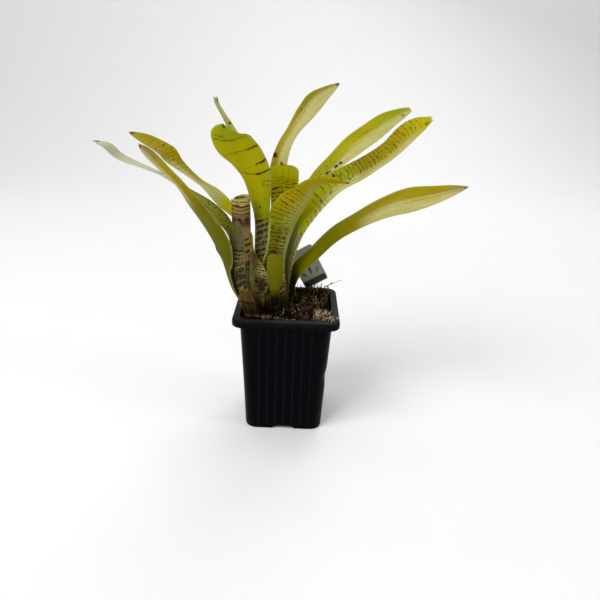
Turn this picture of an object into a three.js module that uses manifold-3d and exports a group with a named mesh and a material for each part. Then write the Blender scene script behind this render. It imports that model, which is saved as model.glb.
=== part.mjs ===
// A small bromeliad of two rosettes growing in a square black nursery pot.
// Millimetres, +Z up. The origin is the middle of the pot's flat underside; the
// front of the pot faces -Y and the long right-hand leaf reaches towards +X.
import * as THREE from 'three';
import { mergeVertices } from 'three/addons/utils/BufferGeometryUtils.js';
import Module from 'manifold-3d';

const wasm = await Module();
wasm.setup();

// Pot
const RIM_WIDTH = 70;
const RIM_CORNER = 8;
const LIP_HEIGHT = 5;
const LIP_THICK = 1;
const POT_HEIGHT = 84;
const BODY_TOP = 61.5;
const BODY_BASE = 52.8;
const BODY_CORNER_TOP = 9;
const BODY_CORNER_BASE = 12;
const WALL = 0.8;
const FLOOR = 1.6;
const FLUTE_PITCH = 6.2;
const FLUTES_PER_SIDE = 7;
const FLUTE_DEPTH = 0.45;
const SLOT_WIDTH = 15;
const SLOT_HEIGHT = 2.8;
const DRAIN_RADIUS = 3.2;
const DRAIN_OFFSET = 13;

// Potting mix
const MIX_TOP = 79.4;
const MIX_GAP = 0.4;
const FOOT = 79.8;
const MOSS_GAP = 0.35;

// Leaves: thickness on the midrib and gap under each foot
const LEAF_THICK = 0.8;
const MARGIN_THICK = 0.5;
const LEAF_ROWS = 13;
const LEAF_COLUMNS = 6;

// Middle of each rosette at a few heights: [x, y, z]
const CENTRE_AXIS = [[-11, 10, 79], [-11, 10, 150]];
const LEFT_AXIS = [
  [-20.8, -10.8, 80], [-21.9, -10.8, 84], [-25.2, -10.5, 90], [-29, -9, 99], [-31, -7, 115], [-31.2, -6, 130],
  [-31.4, -6, 150], [-31.6, -8.5, 162],
];

// Each leaf grows outward from its rosette at a compass heading in degrees.
// sheath rows, where the leaf hugs its rosette: [height, radius, wrap angle]
// blade rows, from there to the tip: [x, y, z, width, roll, wrap angle]
// tip is the length over which the end rounds off.
const LEAVES = {
  left_tube_leaf: {
    axis: LEFT_AXIS, heading: 335, tip: 3, colour: 0x8f8050, columns: 14,
    sheath: [[76, 2.4, 345], [83, 2.6, 345], [90, 3.1, 345], [99, 3.9, 345], [114, 5.1, 345],
      [126, 5.8, 350], [142, 5.7, 350], [158, 5.7, 350]],
    blade: [],
  },
  left_scale_leaf: {
    axis: LEFT_AXIS, heading: 256, tip: 9, colour: 0x6b6436,
    sheath: [[76, 3.6, 80], [83, 3.9, 85], [90, 4.5, 85], [99, 5.4, 85], [114, 6.6, 80], [128, 7.2, 70],
      [143.5, 7.3, 55]],
    blade: [],
  },
  left_leaf_upper: {
    axis: LEFT_AXIS, heading: 122, tip: 9, colour: 0x8c8a12,
    sheath: [],
    blade: [[-21.2, -8.2, 75.9, 5, 0, 80], [-23, -8.2, 83, 5.5, 0, 80], [-26.9, -7.6, 90.2, 6.2, 0, 80],
      [-31.2, -5.4, 99.1, 7.5, 0, 80], [-33.5, -2.3, 113.8, 8.9, 0, 78], [-33.5, -0.8, 127.9, 9.3, 0, 76],
      [-33, 0.4, 142, 7.2, -26.4, 72], [-42.5, 3.4, 150.2, 10.8, 5, 50], [-52.2, 5.8, 158.7, 14, 24, 40],
      [-63.1, 8, 166, 13.6, 35, 40], [-73.8, 9, 174.4, 14.8, 29.6, 45], [-81.3, 9, 182.1, 16.3, 18.5, 40],
      [-91.8, 9, 187.9, 13.8, 13, 40], [-103.7, 9, 192.9, 7.4, 15.9, 30]],
  },
  left_leaf_far: {
    axis: LEFT_AXIS, heading: 164, tip: 4, colour: 0xb8b57a,
    sheath: [],
    blade: [[-23.5, -9.6, 76, 6.3, 0, 75], [-25.5, -9.4, 83.1, 6.8, 0, 75],
      [-29.3, -8.7, 89.9, 7.9, 0, 78], [-34.1, -6.9, 98.7, 9.2, 0, 78], [-37.5, -4.3, 113.6, 10.3, 0, 74],
      [-36.8, -2.3, 128.6, 11.8, 3, 68], [-43.6, 2.2, 139.8, 13.4, -8.9, 50],
      [-53.7, 5.2, 148.8, 12.9, -6.5, 40], [-67, 7.6, 157.3, 10.8, 4.1, 40],
      [-82.9, 10, 166.1, 9.1, 7.2, 40], [-97, 12, 171.1, 9, 0.8, 40], [-104.7, 13, 173.4, 9.8, -3.4, 35],
      [-113.3, 13, 177.4, 9.5, -6.4, 35], [-120.5, 13, 183.5, 8.6, -14.4, 30],
      [-128.5, 13, 186, 3.9, -15, 20]],
  },
  left_leaf_near: {
    axis: LEFT_AXIS, heading: 186, tip: 8, colour: 0x878000,
    sheath: [],
    blade: [[-24.6, -10.4, 74.6, 8.7, 0, 76], [-26.7, -10.9, 82.6, 8.8, 0, 76],
      [-30.7, -10, 89.8, 9.5, 0, 78], [-35.6, -8.7, 98.7, 11.6, 0, 80],
      [-39.5, -7.9, 111.9, 15.3, 10.6, 74], [-41.2, -13.2, 121.9, 14.5, 47.7, 60],
      [-42.8, -14.2, 129.4, 15.9, 46.6, 50], [-49.8, -15, 141.6, 16.1, 44.8, 40],
      [-57.1, -17.4, 152.2, 13.3, 43.1, 40], [-66.4, -21, 165.9, 10.6, 41.9, 45],
      [-73.9, -24, 174.5, 10.5, 41.5, 40], [-80.8, -26, 182.2, 10.9, 41.3, 30],
      [-87.7, -28, 189.7, 8.8, 41.2, 20]],
  },
  left_outer_sheath: {
    axis: LEFT_AXIS, heading: 265, tip: 6, colour: 0x6a5a28,
    sheath: [],
    blade: [[-24.3, -15.3, 77.9, 10, 3, 78], [-24.6, -16.6, 85.1, 9.4, 2, 80],
      [-25.9, -16.5, 88.6, 10.6, 1.4, 84], [-27.1, -15.7, 93, 9.7, 0.9, 90],
      [-27.5, -14.1, 98.4, 9.8, -0.2, 92]],
  },
  centre_leaf_broad: {
    axis: CENTRE_AXIS, heading: 228, tip: 7, blunt: 2.4, colour: 0xa0a000,
    sheath: [],
    blade: [[-16.1, 4.4, 77.1, 11.4, 0, 70], [-16.6, 4.4, 82.8, 13.2, 0, 70],
      [-17.5, 4.8, 96.1, 16.3, 0, 72], [-18.1, 4.8, 109.1, 16.2, 0, 72], [-18.2, 4.3, 123.5, 15.6, 0, 70],
      [-18.8, 3.8, 140.1, 13.9, 3.1, 72], [-20.3, 1.2, 158.8, 16.2, 26.3, 60],
      [-22.6, -3, 172, 20.2, 34.4, 55], [-28.3, -8, 183, 22.2, 39, 45],
      [-34.9, -12.5, 190, 25.3, 32.2, 35], [-38.5, -16.5, 196.1, 24.2, 17.3, 30],
      [-39.8, -20, 202.2, 18.3, -0.1, 26]],
  },
  centre_leaf_banded: {
    axis: CENTRE_AXIS, heading: 275, tip: 8, colour: 0x8a8410,
    sheath: [],
    blade: [[-10.4, 2.2, 74.6, 12.2, 0, 66], [-10.3, 0.4, 82.7, 14.3, 0, 70],
      [-9.5, 1.1, 89.4, 16.8, 0, 72], [-10.4, 0.6, 109.6, 16.7, 0, 72], [-8.7, -1.9, 120.4, 14.4, 0, 70],
      [-6.5, -3.4, 133.3, 16.2, 3, 66], [-3.4, -4.8, 147.3, 20.1, -5, 58],
      [1.2, -7.5, 155.1, 18.8, -10, 52], [6.6, -10.5, 161.5, 13.1, -11, 50],
      [12.8, -14.5, 168.4, 9.1, -14, 50], [20.7, -18, 171.1, 6.7, -31, 40],
      [35.3, -21, 171.2, 4.6, -34, 20]],
  },
  centre_leaf_back: {
    axis: CENTRE_AXIS, heading: 74, tip: 8, colour: 0x9a9a3c,
    sheath: [],
    blade: [[-8.6, 18.4, 75.7, 12, 0, 66], [-8.2, 19.4, 83, 13.5, 0, 66], [-7.5, 21.4, 96.9, 16.2, 0, 66],
      [-7.4, 22.6, 114.9, 15.8, 0, 60], [-6.9, 23.6, 134.9, 15.7, 0, 56],
      [-7.2, 23.2, 149.9, 15.1, 0, 56], [-9.4, 22.5, 170.9, 13.1, -6.5, 60],
      [-6, 25, 186.1, 11.6, -12.8, 50], [0.7, 29, 198, 11.9, -14.9, 45], [8.3, 32, 208.9, 13.3, 3.8, 40],
      [15, 35, 216.5, 13.1, 10.4, 40], [28.4, 38, 226.3, 3.6, -2.4, 20]],
  },
  centre_leaf_narrow: {
    axis: CENTRE_AXIS, heading: 140, tip: 5, colour: 0x9aa24a,
    sheath: [[76, 10, 56], [83, 11.2, 58], [97, 13.4, 60], [120, 13.4, 55], [145, 12.5, 48]],
    blade: [[-22.6, 15, 168.4, 7.8, -17.9, 50], [-28.4, 16, 180.2, 6.6, -22.7, 45],
      [-36.4, 18.5, 190, 6.4, -17.6, 40], [-43.1, 21, 200.6, 5.6, -5.5, 40],
      [-49.7, 24, 210.5, 4.9, 12.3, 30], [-51, 25, 214.5, 6.1, 6.6, 20]],
  },
  centre_leaf_short: {
    axis: CENTRE_AXIS, heading: 60, tip: 5, blunt: 2.6, colour: 0x8f9a10,
    sheath: [[76, 4.4, 90], [83, 5.2, 90], [97, 7, 90], [115, 8, 95]],
    blade: [[-4, 15, 132, 18, 25, 70], [-4.4, 15.5, 150, 18.5, 30, 50], [-5, 16, 175, 19, 30, 35]],
  },
  right_leaf_upper: {
    axis: CENTRE_AXIS, heading: 12, tip: 8, colour: 0x98a632,
    sheath: [],
    blade: [[-5.1, 14.2, 75, 8, 0, 70], [-4.3, 15.1, 82.4, 9, 0, 72], [-1.7, 15.9, 96.7, 9.5, 0, 72],
      [-2, 15.1, 109.7, 10, 0, 70], [0.9, 15.8, 123.5, 10.5, 5.2, 60], [5, 15.5, 135.6, 13.3, 12.4, 55],
      [9.3, 14.2, 150, 15.4, 25.6, 50], [17.2, 17, 166, 16.5, 26.8, 50], [29.8, 22, 179.5, 16.7, 29, 45],
      [40.7, 26, 189.1, 16.9, 43.3, 40], [51.4, 30, 196.6, 16.5, 46.8, 40],
      [62, 33, 204.5, 14.2, 44.2, 40], [76.8, 37, 212.1, 7, 38.4, 30]],
  },
  right_leaf_lower: {
    axis: CENTRE_AXIS, heading: 344, tip: 8, colour: 0x8a8a18,
    sheath: [],
    blade: [[-2.4, 8.5, 74.2, 5.7, 13.6, 56], [-3.2, 7, 82.2, 7.2, 24.8, 58],
      [-2.7, 5, 95.6, 9.8, 56, 60], [-1.8, 3.7, 109, 11.6, 62.3, 58], [0.2, 2.3, 122.2, 13.3, 61.4, 50],
      [4.9, -1, 137.1, 14.8, 59.6, 52], [11.8, -2.8, 149.7, 17, 56.1, 50],
      [20.9, -3, 162.4, 17.9, 62.8, 45], [31.7, -5, 171, 15.8, 55.1, 45], [44, -8, 178.6, 15.2, 55, 40],
      [57.6, -11, 189, 14.8, 53.3, 40], [68.8, -13, 201.2, 14.8, 56.4, 40],
      [80.3, -16, 209.2, 8.1, 52.8, 30]],
  },
  right_leaf_long: {
    axis: CENTRE_AXIS, heading: 350, tip: 12, colour: 0x989010,
    sheath: [],
    blade: [[-0.3, 13.2, 72.1, 12.8, 7, 56], [-0.1, 10.9, 80.9, 15.2, 6.3, 60],
      [1.9, 11.2, 88, 13.8, 37.7, 62], [2.1, 11.7, 94.9, 15.2, 30, 62], [5.6, 4.1, 106.9, 11.2, 52.9, 60],
      [16.4, -2.2, 120.6, 11, 52.8, 55], [28.6, -8.8, 135.7, 12.6, 44.7, 50],
      [42.6, -12.7, 146.4, 13.2, 44.9, 45], [56.5, -15.6, 155, 15.8, 43.1, 40],
      [73, -16, 161.2, 18.9, 45.5, 35], [89, -18, 166, 16.4, 29.3, 35],
      [106.6, -21, 171.8, 8.6, 18.8, 20]],
  },
  centre_left_sheath: {
    axis: CENTRE_AXIS, heading: 202, tip: 3, colour: 0xa08c50,
    sheath: [],
    blade: [[-18.5, 5, 77.8, 19.5, 0, 96], [-21.2, 5.3, 86, 20.6, 19.2, 102],
      [-22.1, 6.3, 91.9, 26.7, 16.7, 104], [-20.6, 5.6, 100, 30.4, 13.9, 104],
      [-21.5, 4.7, 108.6, 25.7, 10.6, 84], [-23.7, 3.3, 115.7, 15.3, 7.6, 46],
      [-25.3, 2.1, 122, 9.6, 4.5, 24], [-25.1, 0.6, 132.2, 6.3, 1.5, 10]],
  },
  centre_right_sheath: {
    axis: CENTRE_AXIS, heading: 302, tip: 8, colour: 0x8a6a44,
    sheath: [],
    blade: [[-5.9, 2.3, 75.2, 13.6, 0, 66], [-4.8, -0.3, 85.8, 14.7, 1.4, 70],
      [-5.2, -3.3, 93.7, 14.9, -0.1, 72], [-6.8, -2.4, 99, 13.5, -1.5, 72],
      [-5, -3.6, 110.4, 8, -2.6, 56]],
  },
  centre_rear_sheath: {
    axis: CENTRE_AXIS, heading: 92, tip: 12, colour: 0x8d8a3a,
    sheath: [[76, 11.8, 100], [83, 13.2, 106], [97, 15.6, 110], [114, 16.6, 98], [128, 17.6, 66]],
    blade: [],
  },
  front_short_leaf: {
    axis: CENTRE_AXIS, heading: 268, tip: 4, blunt: 2.6, colour: 0x6a6a00,
    sheath: [],
    blade: [[-8.8, -5.8, 85.4, 4.4, 0.3, 40], [-8.4, -7.4, 91.3, 5.7, 0.2, 40],
      [-8.6, -8.6, 98.4, 7.6, 0, 40], [-8.5, -8.6, 109.8, 11.4, -0.1, 45],
      [-7.9, -8.1, 121, 11.5, -0.2, 40]],
  },
};

const radians = THREE.MathUtils.degToRad;

// Smooth value through a list of numbers at station s (0 to list length - 1).
function through(values, s) {
  const last = values.length - 1;
  const i = Math.min(Math.floor(s), last - 1);
  const t = s - i;
  const b = values[i];
  const c = values[i + 1];
  const a = i > 0 ? values[i - 1] : 2 * b - c;
  const d = i + 2 <= last ? values[i + 2] : 2 * c - b;
  return b + 0.5 * t * (c - a + t * (2 * a - 5 * b + 4 * c - d + t * (3 * (b - c) + d - a)));
}

function axisAt(axis, z) {
  let i = 0;
  while (i < axis.length - 2 && z > axis[i + 1][2]) {
    i += 1;
  }
  const t = (z - axis[i][2]) / (axis[i + 1][2] - axis[i][2]);
  return [0, 1].map((k) => THREE.MathUtils.lerp(axis[i][k], axis[i + 1][k], t));
}

// All stations of a leaf as [x, y, z, width, roll, wrap].
function stationsOf(leaf) {
  const out = [Math.cos(radians(leaf.heading)), Math.sin(radians(leaf.heading))];
  const hugging = leaf.sheath.map(([z, radius, wrap]) => {
    const [x, y] = axisAt(leaf.axis, z);
    const reach = radius * Math.cos(radians(wrap) / 2);
    return [x + reach * out[0], y + reach * out[1], z, radius * radians(wrap), 0, wrap];
  });
  return hugging.concat(leaf.blade);
}

function leafGeometry(leaf) {
  const stations = stationsOf(leaf);
  const column = (k) => stations.map((row) => row[k]);
  const [xs, ys, zs, widths, rolls, wraps] = [0, 1, 2, 3, 4, 5].map(column);
  const last = stations.length - 1;
  const spine = (s) => new THREE.Vector3(through(xs, s), through(ys, s), through(zs, s));

  // Walk the spine to place rows at even lengths.
  const steps = 20 * last;
  const lengths = [0];
  for (let i = 1; i <= steps; i += 1) {
    lengths.push(lengths[i - 1] + spine((last * i) / steps).distanceTo(spine((last * (i - 1)) / steps)));
  }
  const total = lengths[steps];
  const stationAt = (length) => {
    let i = 1;
    while (i < steps && lengths[i] < length) {
      i += 1;
    }
    const t = (length - lengths[i - 1]) / (lengths[i] - lengths[i - 1]);
    return (last * (i - 1 + THREE.MathUtils.clamp(t, 0, 1))) / steps;
  };

  const heading = radians(leaf.heading);
  const sideways = new THREE.Vector3(-Math.sin(heading), Math.cos(heading), 0);
  const rowsAcross = leaf.columns ?? LEAF_COLUMNS;
  const rowLengths = [];
  for (let i = 0; i <= LEAF_ROWS; i += 1) {
    rowLengths.push(((total - leaf.tip) * i) / LEAF_ROWS);
  }
  for (const part of [0.5, 0.85, 1]) {
    rowLengths.push(total - leaf.tip + leaf.tip * part);
  }

  const inner = [];
  const outer = [];
  for (const length of rowLengths) {
    const s = stationAt(length);
    const at = spine(s);
    const ahead = spine(Math.min(s + 0.05, last)).sub(spine(Math.max(s - 0.05, 0))).normalize();
    const level = sideways.clone().addScaledVector(ahead, -sideways.dot(ahead)).normalize();
    const inward = new THREE.Vector3().crossVectors(ahead, level);
    const roll = radians(through(rolls, s));
    const across = level.clone().multiplyScalar(Math.cos(roll)).addScaledVector(inward, Math.sin(roll));
    const face = inward.clone().multiplyScalar(Math.cos(roll)).addScaledVector(level, -Math.sin(roll));
    const wrap = radians(Math.max(through(wraps, s), 8));
    const radius = Math.max(through(widths, s), 0.8) / wrap;
    const into = Math.max(0, (length - (total - leaf.tip)) / leaf.tip);
    const blunt = leaf.blunt ?? 2;
    const keep = Math.max(Math.max(1 - into ** blunt, 0) ** (1 / blunt), 0.06);
    const half = wrap / 2;
    for (let j = 0; j <= rowsAcross; j += 1) {
      const u = (2 * j) / rowsAcross - 1;
      const angle = u * half * keep;
      const point = at.clone()
        .addScaledVector(across, radius * Math.sin(angle))
        .addScaledVector(face, radius * (Math.cos(half) - Math.cos(angle)));
      const normal = face.clone().multiplyScalar(Math.cos(angle)).addScaledVector(across, -Math.sin(angle));
      const thick = THREE.MathUtils.lerp(LEAF_THICK, MARGIN_THICK, u * u) / 2;
      inner.push(point.clone().addScaledVector(normal, thick));
      outer.push(point.clone().addScaledVector(normal, -thick));
    }
  }
  return closedSheet(inner, outer, rowLengths.length, rowsAcross + 1);
}

// Closed solid between two point grids of the same size.
function closedSheet(inner, outer, rows, columns) {
  const points = inner.concat(outer);
  const shift = inner.length;
  const faces = [];
  const quad = (a, b, c, d) => {
    faces.push(a, b, c, a, c, d);
  };
  const id = (i, j) => i * columns + j;
  for (let i = 0; i < rows - 1; i += 1) {
    for (let j = 0; j < columns - 1; j += 1) {
      quad(id(i, j), id(i, j + 1), id(i + 1, j + 1), id(i + 1, j));
      quad(shift + id(i, j), shift + id(i + 1, j), shift + id(i + 1, j + 1), shift + id(i, j + 1));
    }
    const end = columns - 1;
    quad(id(i, 0), id(i + 1, 0), shift + id(i + 1, 0), shift + id(i, 0));
    quad(id(i, end), shift + id(i, end), shift + id(i + 1, end), id(i + 1, end));
  }
  for (let j = 0; j < columns - 1; j += 1) {
    const end = rows - 1;
    quad(id(0, j), shift + id(0, j), shift + id(0, j + 1), id(0, j + 1));
    quad(id(end, j), id(end, j + 1), shift + id(end, j + 1), shift + id(end, j));
  }
  return facing(points, faces);
}

// Indexed geometry whose faces look outward.
function facing(points, faces) {
  let volume = 0;
  for (let i = 0; i < faces.length; i += 3) {
    const [a, b, c] = [points[faces[i]], points[faces[i + 1]], points[faces[i + 2]]];
    volume += a.dot(b.clone().cross(c));
  }
  if (volume < 0) {
    for (let i = 0; i < faces.length; i += 3) {
      [faces[i], faces[i + 1]] = [faces[i + 1], faces[i]];
    }
  }
  const geometry = new THREE.BufferGeometry();
  geometry.setAttribute('position', new THREE.Float32BufferAttribute(points.flatMap((p) => p.toArray()), 3));
  geometry.setIndex(faces);
  geometry.computeVertexNormals();
  return geometry;
}

function toManifold(geometry) {
  const plain = geometry.clone();
  plain.deleteAttribute('normal');
  plain.deleteAttribute('uv');
  const merged = mergeVertices(plain, 1e-5);
  return new wasm.Manifold(new wasm.Mesh({
    numProp: 3,
    vertProperties: new Float32Array(merged.attributes.position.array),
    triVerts: new Uint32Array(merged.index.array),
  }));
}

function fromManifold(solid) {
  const mesh = solid.getMesh();
  const geometry = new THREE.BufferGeometry();
  geometry.setAttribute('position', new THREE.Float32BufferAttribute(mesh.vertProperties, 3));
  geometry.setIndex(Array.from(mesh.triVerts));
  geometry.computeVertexNormals();
  return geometry;
}

// Rounded square outline, anticlockwise, with grooves where flutes is true.
function squareOutline(width, corner, flutes) {
  const half = width / 2;
  const outline = [];
  const zone = FLUTE_PITCH * (FLUTES_PER_SIDE - 1);
  for (let side = 0; side < 4; side += 1) {
    const turn = (side * Math.PI) / 2;
    const add = (along, out) => {
      outline.push([
        Math.cos(turn) * out - Math.sin(turn) * along,
        Math.sin(turn) * out + Math.cos(turn) * along,
      ]);
    };
    for (let k = 0; k < FLUTES_PER_SIDE; k += 1) {
      const middle = -zone / 2 + k * FLUTE_PITCH;
      const reach = half - corner;
      const groove = Math.sign(middle) * Math.min(Math.abs(middle), reach - 1.2);
      const place = zone / 2 > reach - 1.2 ? (middle * (reach - 1.2)) / (zone / 2) : groove;
      add(place - 0.9, half);
      add(place, half - (flutes ? FLUTE_DEPTH : 0));
      add(place + 0.9, half);
    }
    for (let k = 0; k <= 4; k += 1) {
      const a = (k * Math.PI) / 8;
      add(half - corner + corner * Math.sin(a), half - corner + corner * Math.cos(a));
    }
  }
  return outline;
}

// Solid through stacked outlines of equal length: [z, outline] from the bottom up.
function stacked(levels) {
  const points = [];
  const faces = [];
  const count = levels[0][1].length;
  for (const [z, outline] of levels) {
    for (const [x, y] of outline) {
      points.push(new THREE.Vector3(x, y, z));
    }
  }
  for (let i = 0; i < levels.length - 1; i += 1) {
    for (let j = 0; j < count; j += 1) {
      const next = (j + 1) % count;
      const [a, b] = [i * count + j, i * count + next];
      faces.push(a, b, b + count, a, b + count, a + count);
    }
  }
  const ends = [0, levels.length - 1].map((i) => {
    points.push(new THREE.Vector3(0, 0, levels[i][0]));
    return points.length - 1;
  });
  const topStart = (levels.length - 1) * count;
  for (let j = 0; j < count; j += 1) {
    const next = (j + 1) % count;
    faces.push(ends[0], next, j);
    faces.push(ends[1], topStart + j, topStart + next);
  }
  return facing(points, faces);
}

const lipBottom = POT_HEIGHT - LIP_HEIGHT;
const bodyWidthAt = (z) => THREE.MathUtils.lerp(BODY_BASE, BODY_TOP, z / POT_HEIGHT);
const bodyCornerAt = (z) => THREE.MathUtils.lerp(BODY_CORNER_BASE, BODY_CORNER_TOP, z / POT_HEIGHT);
const cavityOutline = (z, clearance) => (
  squareOutline(bodyWidthAt(z) - 2 * WALL - 2 * clearance, bodyCornerAt(z) - WALL, false)
);

function potSolid() {
  const bodyTop = POT_HEIGHT - LIP_THICK / 2;
  const body = [0, POT_HEIGHT / 2, bodyTop].map((z) => (
    [z, squareOutline(bodyWidthAt(z), bodyCornerAt(z), z < bodyTop)]
  ));
  const hollow = [FLOOR, POT_HEIGHT / 2, POT_HEIGHT + 1].map((z) => [z, cavityOutline(z, 0)]);
  const lipOut = [lipBottom, POT_HEIGHT].map((z) => [z, squareOutline(RIM_WIDTH, RIM_CORNER, false)]);
  const lipIn = [lipBottom - 1, POT_HEIGHT - LIP_THICK].map((z) => (
    [z, squareOutline(RIM_WIDTH - 2 * LIP_THICK, RIM_CORNER - LIP_THICK, false)]
  ));
  let pot = toManifold(stacked(body));
  const lip = toManifold(stacked(lipOut)).subtract(toManifold(stacked(lipIn)));
  pot = pot.add(lip).subtract(toManifold(stacked(hollow)));
  for (let side = 0; side < 2; side += 1) {
    const slot = new THREE.CylinderGeometry(SLOT_WIDTH / 2, SLOT_WIDTH / 2, 2 * RIM_WIDTH, 20);
    slot.scale(1, 1, SLOT_HEIGHT / (SLOT_WIDTH / 2));
    slot.rotateZ(side * Math.PI / 2);
    const keep = new THREE.BoxGeometry(BODY_BASE - 8, BODY_BASE - 8, 4 * SLOT_HEIGHT);
    pot = pot.subtract(toManifold(slot).subtract(toManifold(keep)));
  }
  for (const [x, y] of [[1, 1], [-1, 1], [-1, -1], [1, -1]]) {
    const drain = new THREE.CylinderGeometry(DRAIN_RADIUS, DRAIN_RADIUS, 4 * FLOOR, 20);
    drain.rotateX(Math.PI / 2);
    drain.translate(x * DRAIN_OFFSET, y * DRAIN_OFFSET, 0);
    pot = pot.subtract(toManifold(drain));
  }
  return fromManifold(pot);
}

// Plant label: a flat tag on a short leg pushed into the mix.
const TAG_WIDTH = 18;
const TAG_HEIGHT = 28;
const TAG_THICK = 0.8;
const LEG_WIDTH = 4;
const LEG_LENGTH = 17;
const TAG_CORNER = [28.4, 24, 95.3];
const TAG_LEAN = 29.5;
const TAG_TILT = 6;

function tagSolid(grow) {
  const face = new THREE.BoxGeometry(TAG_WIDTH + 2 * grow, TAG_THICK + 2 * grow, TAG_HEIGHT + 2 * grow);
  face.translate(-TAG_WIDTH / 2, 0, TAG_HEIGHT / 2);
  const leg = new THREE.BoxGeometry(LEG_WIDTH + 2 * grow, TAG_THICK + 2 * grow, LEG_LENGTH + 2 * grow);
  leg.translate(3 - TAG_WIDTH, 0, 1 - LEG_LENGTH / 2);
  const place = (geometry) => {
    geometry.rotateY(-radians(TAG_LEAN));
    geometry.rotateX(-radians(TAG_TILT));
    geometry.translate(...TAG_CORNER);
    return toManifold(geometry);
  };
  return place(face).add(place(leg));
}

// Thin round pieces: thickness, then the points they pass through
const STRANDS = {
  thin_stake: [1.2, [[23.6, 22.8, 79.9], [23.7, 22.8, 91.5]]],
  curled_root: [0.9, [[27, 18, 80], [28.6, 20, 85], [28.4, 21, 89.5], [26.4, 20.6, 90]]],
  dry_root: [0.7, [[21, 24.5, 79.9], [24.5, 27, 85], [30, 30, 88.2], [39, 33, 91]]],
};

function strand([thick, points]) {
  const path = new THREE.CatmullRomCurve3(points.map((p) => new THREE.Vector3(...p)));
  const shape = new THREE.Shape();
  shape.absarc(0, 0, thick / 2, 0, 2 * Math.PI);
  const steps = 3 * (points.length - 1);
  return new THREE.ExtrudeGeometry(shape, { extrudePath: path, steps, curveSegments: 3 });
}

// Loose pieces on the mix: [x, y, z of the underside, length, width, height, turn]
const BARK = {
  bark_chip_1: [14, -4, 80, 11, 6, 3.4, 25],
  bark_chip_2: [23, 8, 80, 9, 5.5, 3.6, -40],
  bark_chip_3: [13, -18, 80, 8, 5, 2.6, 70],
  bark_chip_4: [25, -8, 80, 7, 5, 3, 10],
  bark_chip_5: [-4, -22, 80, 7, 4.5, 2.2, -15],
};

function lump([x, y, z, length, width, height, turn], detail) {
  const geometry = mergeVertices(new THREE.IcosahedronGeometry(0.5, detail), 1e-4);
  const place = geometry.attributes.position;
  for (let i = 0; i < place.count; i += 1) {
    const p = new THREE.Vector3().fromBufferAttribute(place, i);
    const rough = 1 + 0.16 * Math.sin(9 * p.x + 4 * p.z + x) * Math.cos(8 * p.y - 3 * p.z + y);
    p.multiplyScalar(rough);
    p.z = Math.max(p.z, -0.38);
    place.setXYZ(i, p.x * length, p.y * width, (p.z + 0.38) * height);
  }
  geometry.rotateZ(radians(turn));
  geometry.translate(x, y, z);
  geometry.computeVertexNormals();
  return geometry;
}

// Every leaf is cut flat at the foot, just above the mix.
function footed(geometry) {
  return fromManifold(toManifold(geometry).trimByPlane([0, 0, 1], FOOT));
}

const leaves = Object.entries(LEAVES).map(([name, leaf]) => (
  [name, footed(leafGeometry(leaf)), leaf.colour, 0.45]
));
const pot = potSolid();

// Dry moss in the front right corner, bulging a little over the rim.
function mossSolid() {
  const tuft = toManifold(lump([25.5, -22, 79.8, 17, 13, 9, -25], 2));
  const heights = [0, POT_HEIGHT + MOSS_GAP];
  const block = toManifold(stacked(heights.map((z) => [z, squareOutline(2 * RIM_WIDTH, 1, false)])));
  const inside = toManifold(stacked([1, POT_HEIGHT / 2, POT_HEIGHT + 1].map((z) => (
    [z, cavityOutline(z, MOSS_GAP)]
  ))));
  return fromManifold(tuft.subtract(block.subtract(inside)));
}

// The mix fills the pot; low bumps on its top stay clear of everything that rests there.
function mixSolid() {
  const levels = [FLOOR + MIX_GAP, POT_HEIGHT / 2, MIX_TOP].map((z) => [z, cavityOutline(z, MIX_GAP)]);
  const body = toManifold(stacked(levels));
  return fromManifold(body.subtract(tagSolid(0.35)));
}

const part = new THREE.Group();
part.name = 'potted_bromeliad';

function piece(name, geometry, colour, roughness) {
  const material = new THREE.MeshStandardMaterial({ color: colour, roughness, metalness: 0 });
  const mesh = new THREE.Mesh(geometry, material);
  mesh.name = name;
  part.add(mesh);
}

piece('pot', pot, 0x14181a, 0.42);
piece('potting_mix', mixSolid(), 0x1d140c, 0.95);
piece('plant_label', fromManifold(tagSolid(0)), 0xb9b8ac, 0.5);
for (const [name, geometry, colour, roughness] of leaves) {
  piece(name, geometry, colour, roughness);
}
for (const [name, size] of Object.entries(BARK)) {
  piece(name, lump(size, 1), 0x3b2715, 0.9);
}
piece('moss_tuft', mossSolid(), 0xb9a88a, 0.95);
for (const [name, size] of Object.entries(STRANDS)) {
  piece(name, fromManifold(toManifold(strand(size))), 0x5a4630, 0.8);
}

export default part;
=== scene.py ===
import functools
import math
import random
from math import cos, exp, hypot, pi, radians, sin

import bmesh
import bpy
import numpy as np
from mathutils import Matrix, Vector, noise


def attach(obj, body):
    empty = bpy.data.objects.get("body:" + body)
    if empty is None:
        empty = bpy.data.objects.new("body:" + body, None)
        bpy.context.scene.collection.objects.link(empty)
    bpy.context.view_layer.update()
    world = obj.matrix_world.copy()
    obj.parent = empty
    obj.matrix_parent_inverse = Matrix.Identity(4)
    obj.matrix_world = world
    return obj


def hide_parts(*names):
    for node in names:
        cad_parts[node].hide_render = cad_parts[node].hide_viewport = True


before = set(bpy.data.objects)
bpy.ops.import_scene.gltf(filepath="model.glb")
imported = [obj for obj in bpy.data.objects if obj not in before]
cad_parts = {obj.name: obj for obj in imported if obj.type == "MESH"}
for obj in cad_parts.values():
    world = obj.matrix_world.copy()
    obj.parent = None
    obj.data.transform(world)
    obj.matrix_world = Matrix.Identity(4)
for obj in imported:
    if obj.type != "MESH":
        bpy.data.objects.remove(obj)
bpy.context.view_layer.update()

bl_info = {
    "name": "Potted Bromeliad",
    "version": (1, 0, 0),
    "blender": (4, 5, 0),
    "location": "3D View > Sidebar > Plant",
    "description": "Builds a small bromeliad of two rosettes in a square nursery pot",
    "category": "Add Mesh",
}

MM = 0.001

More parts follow.
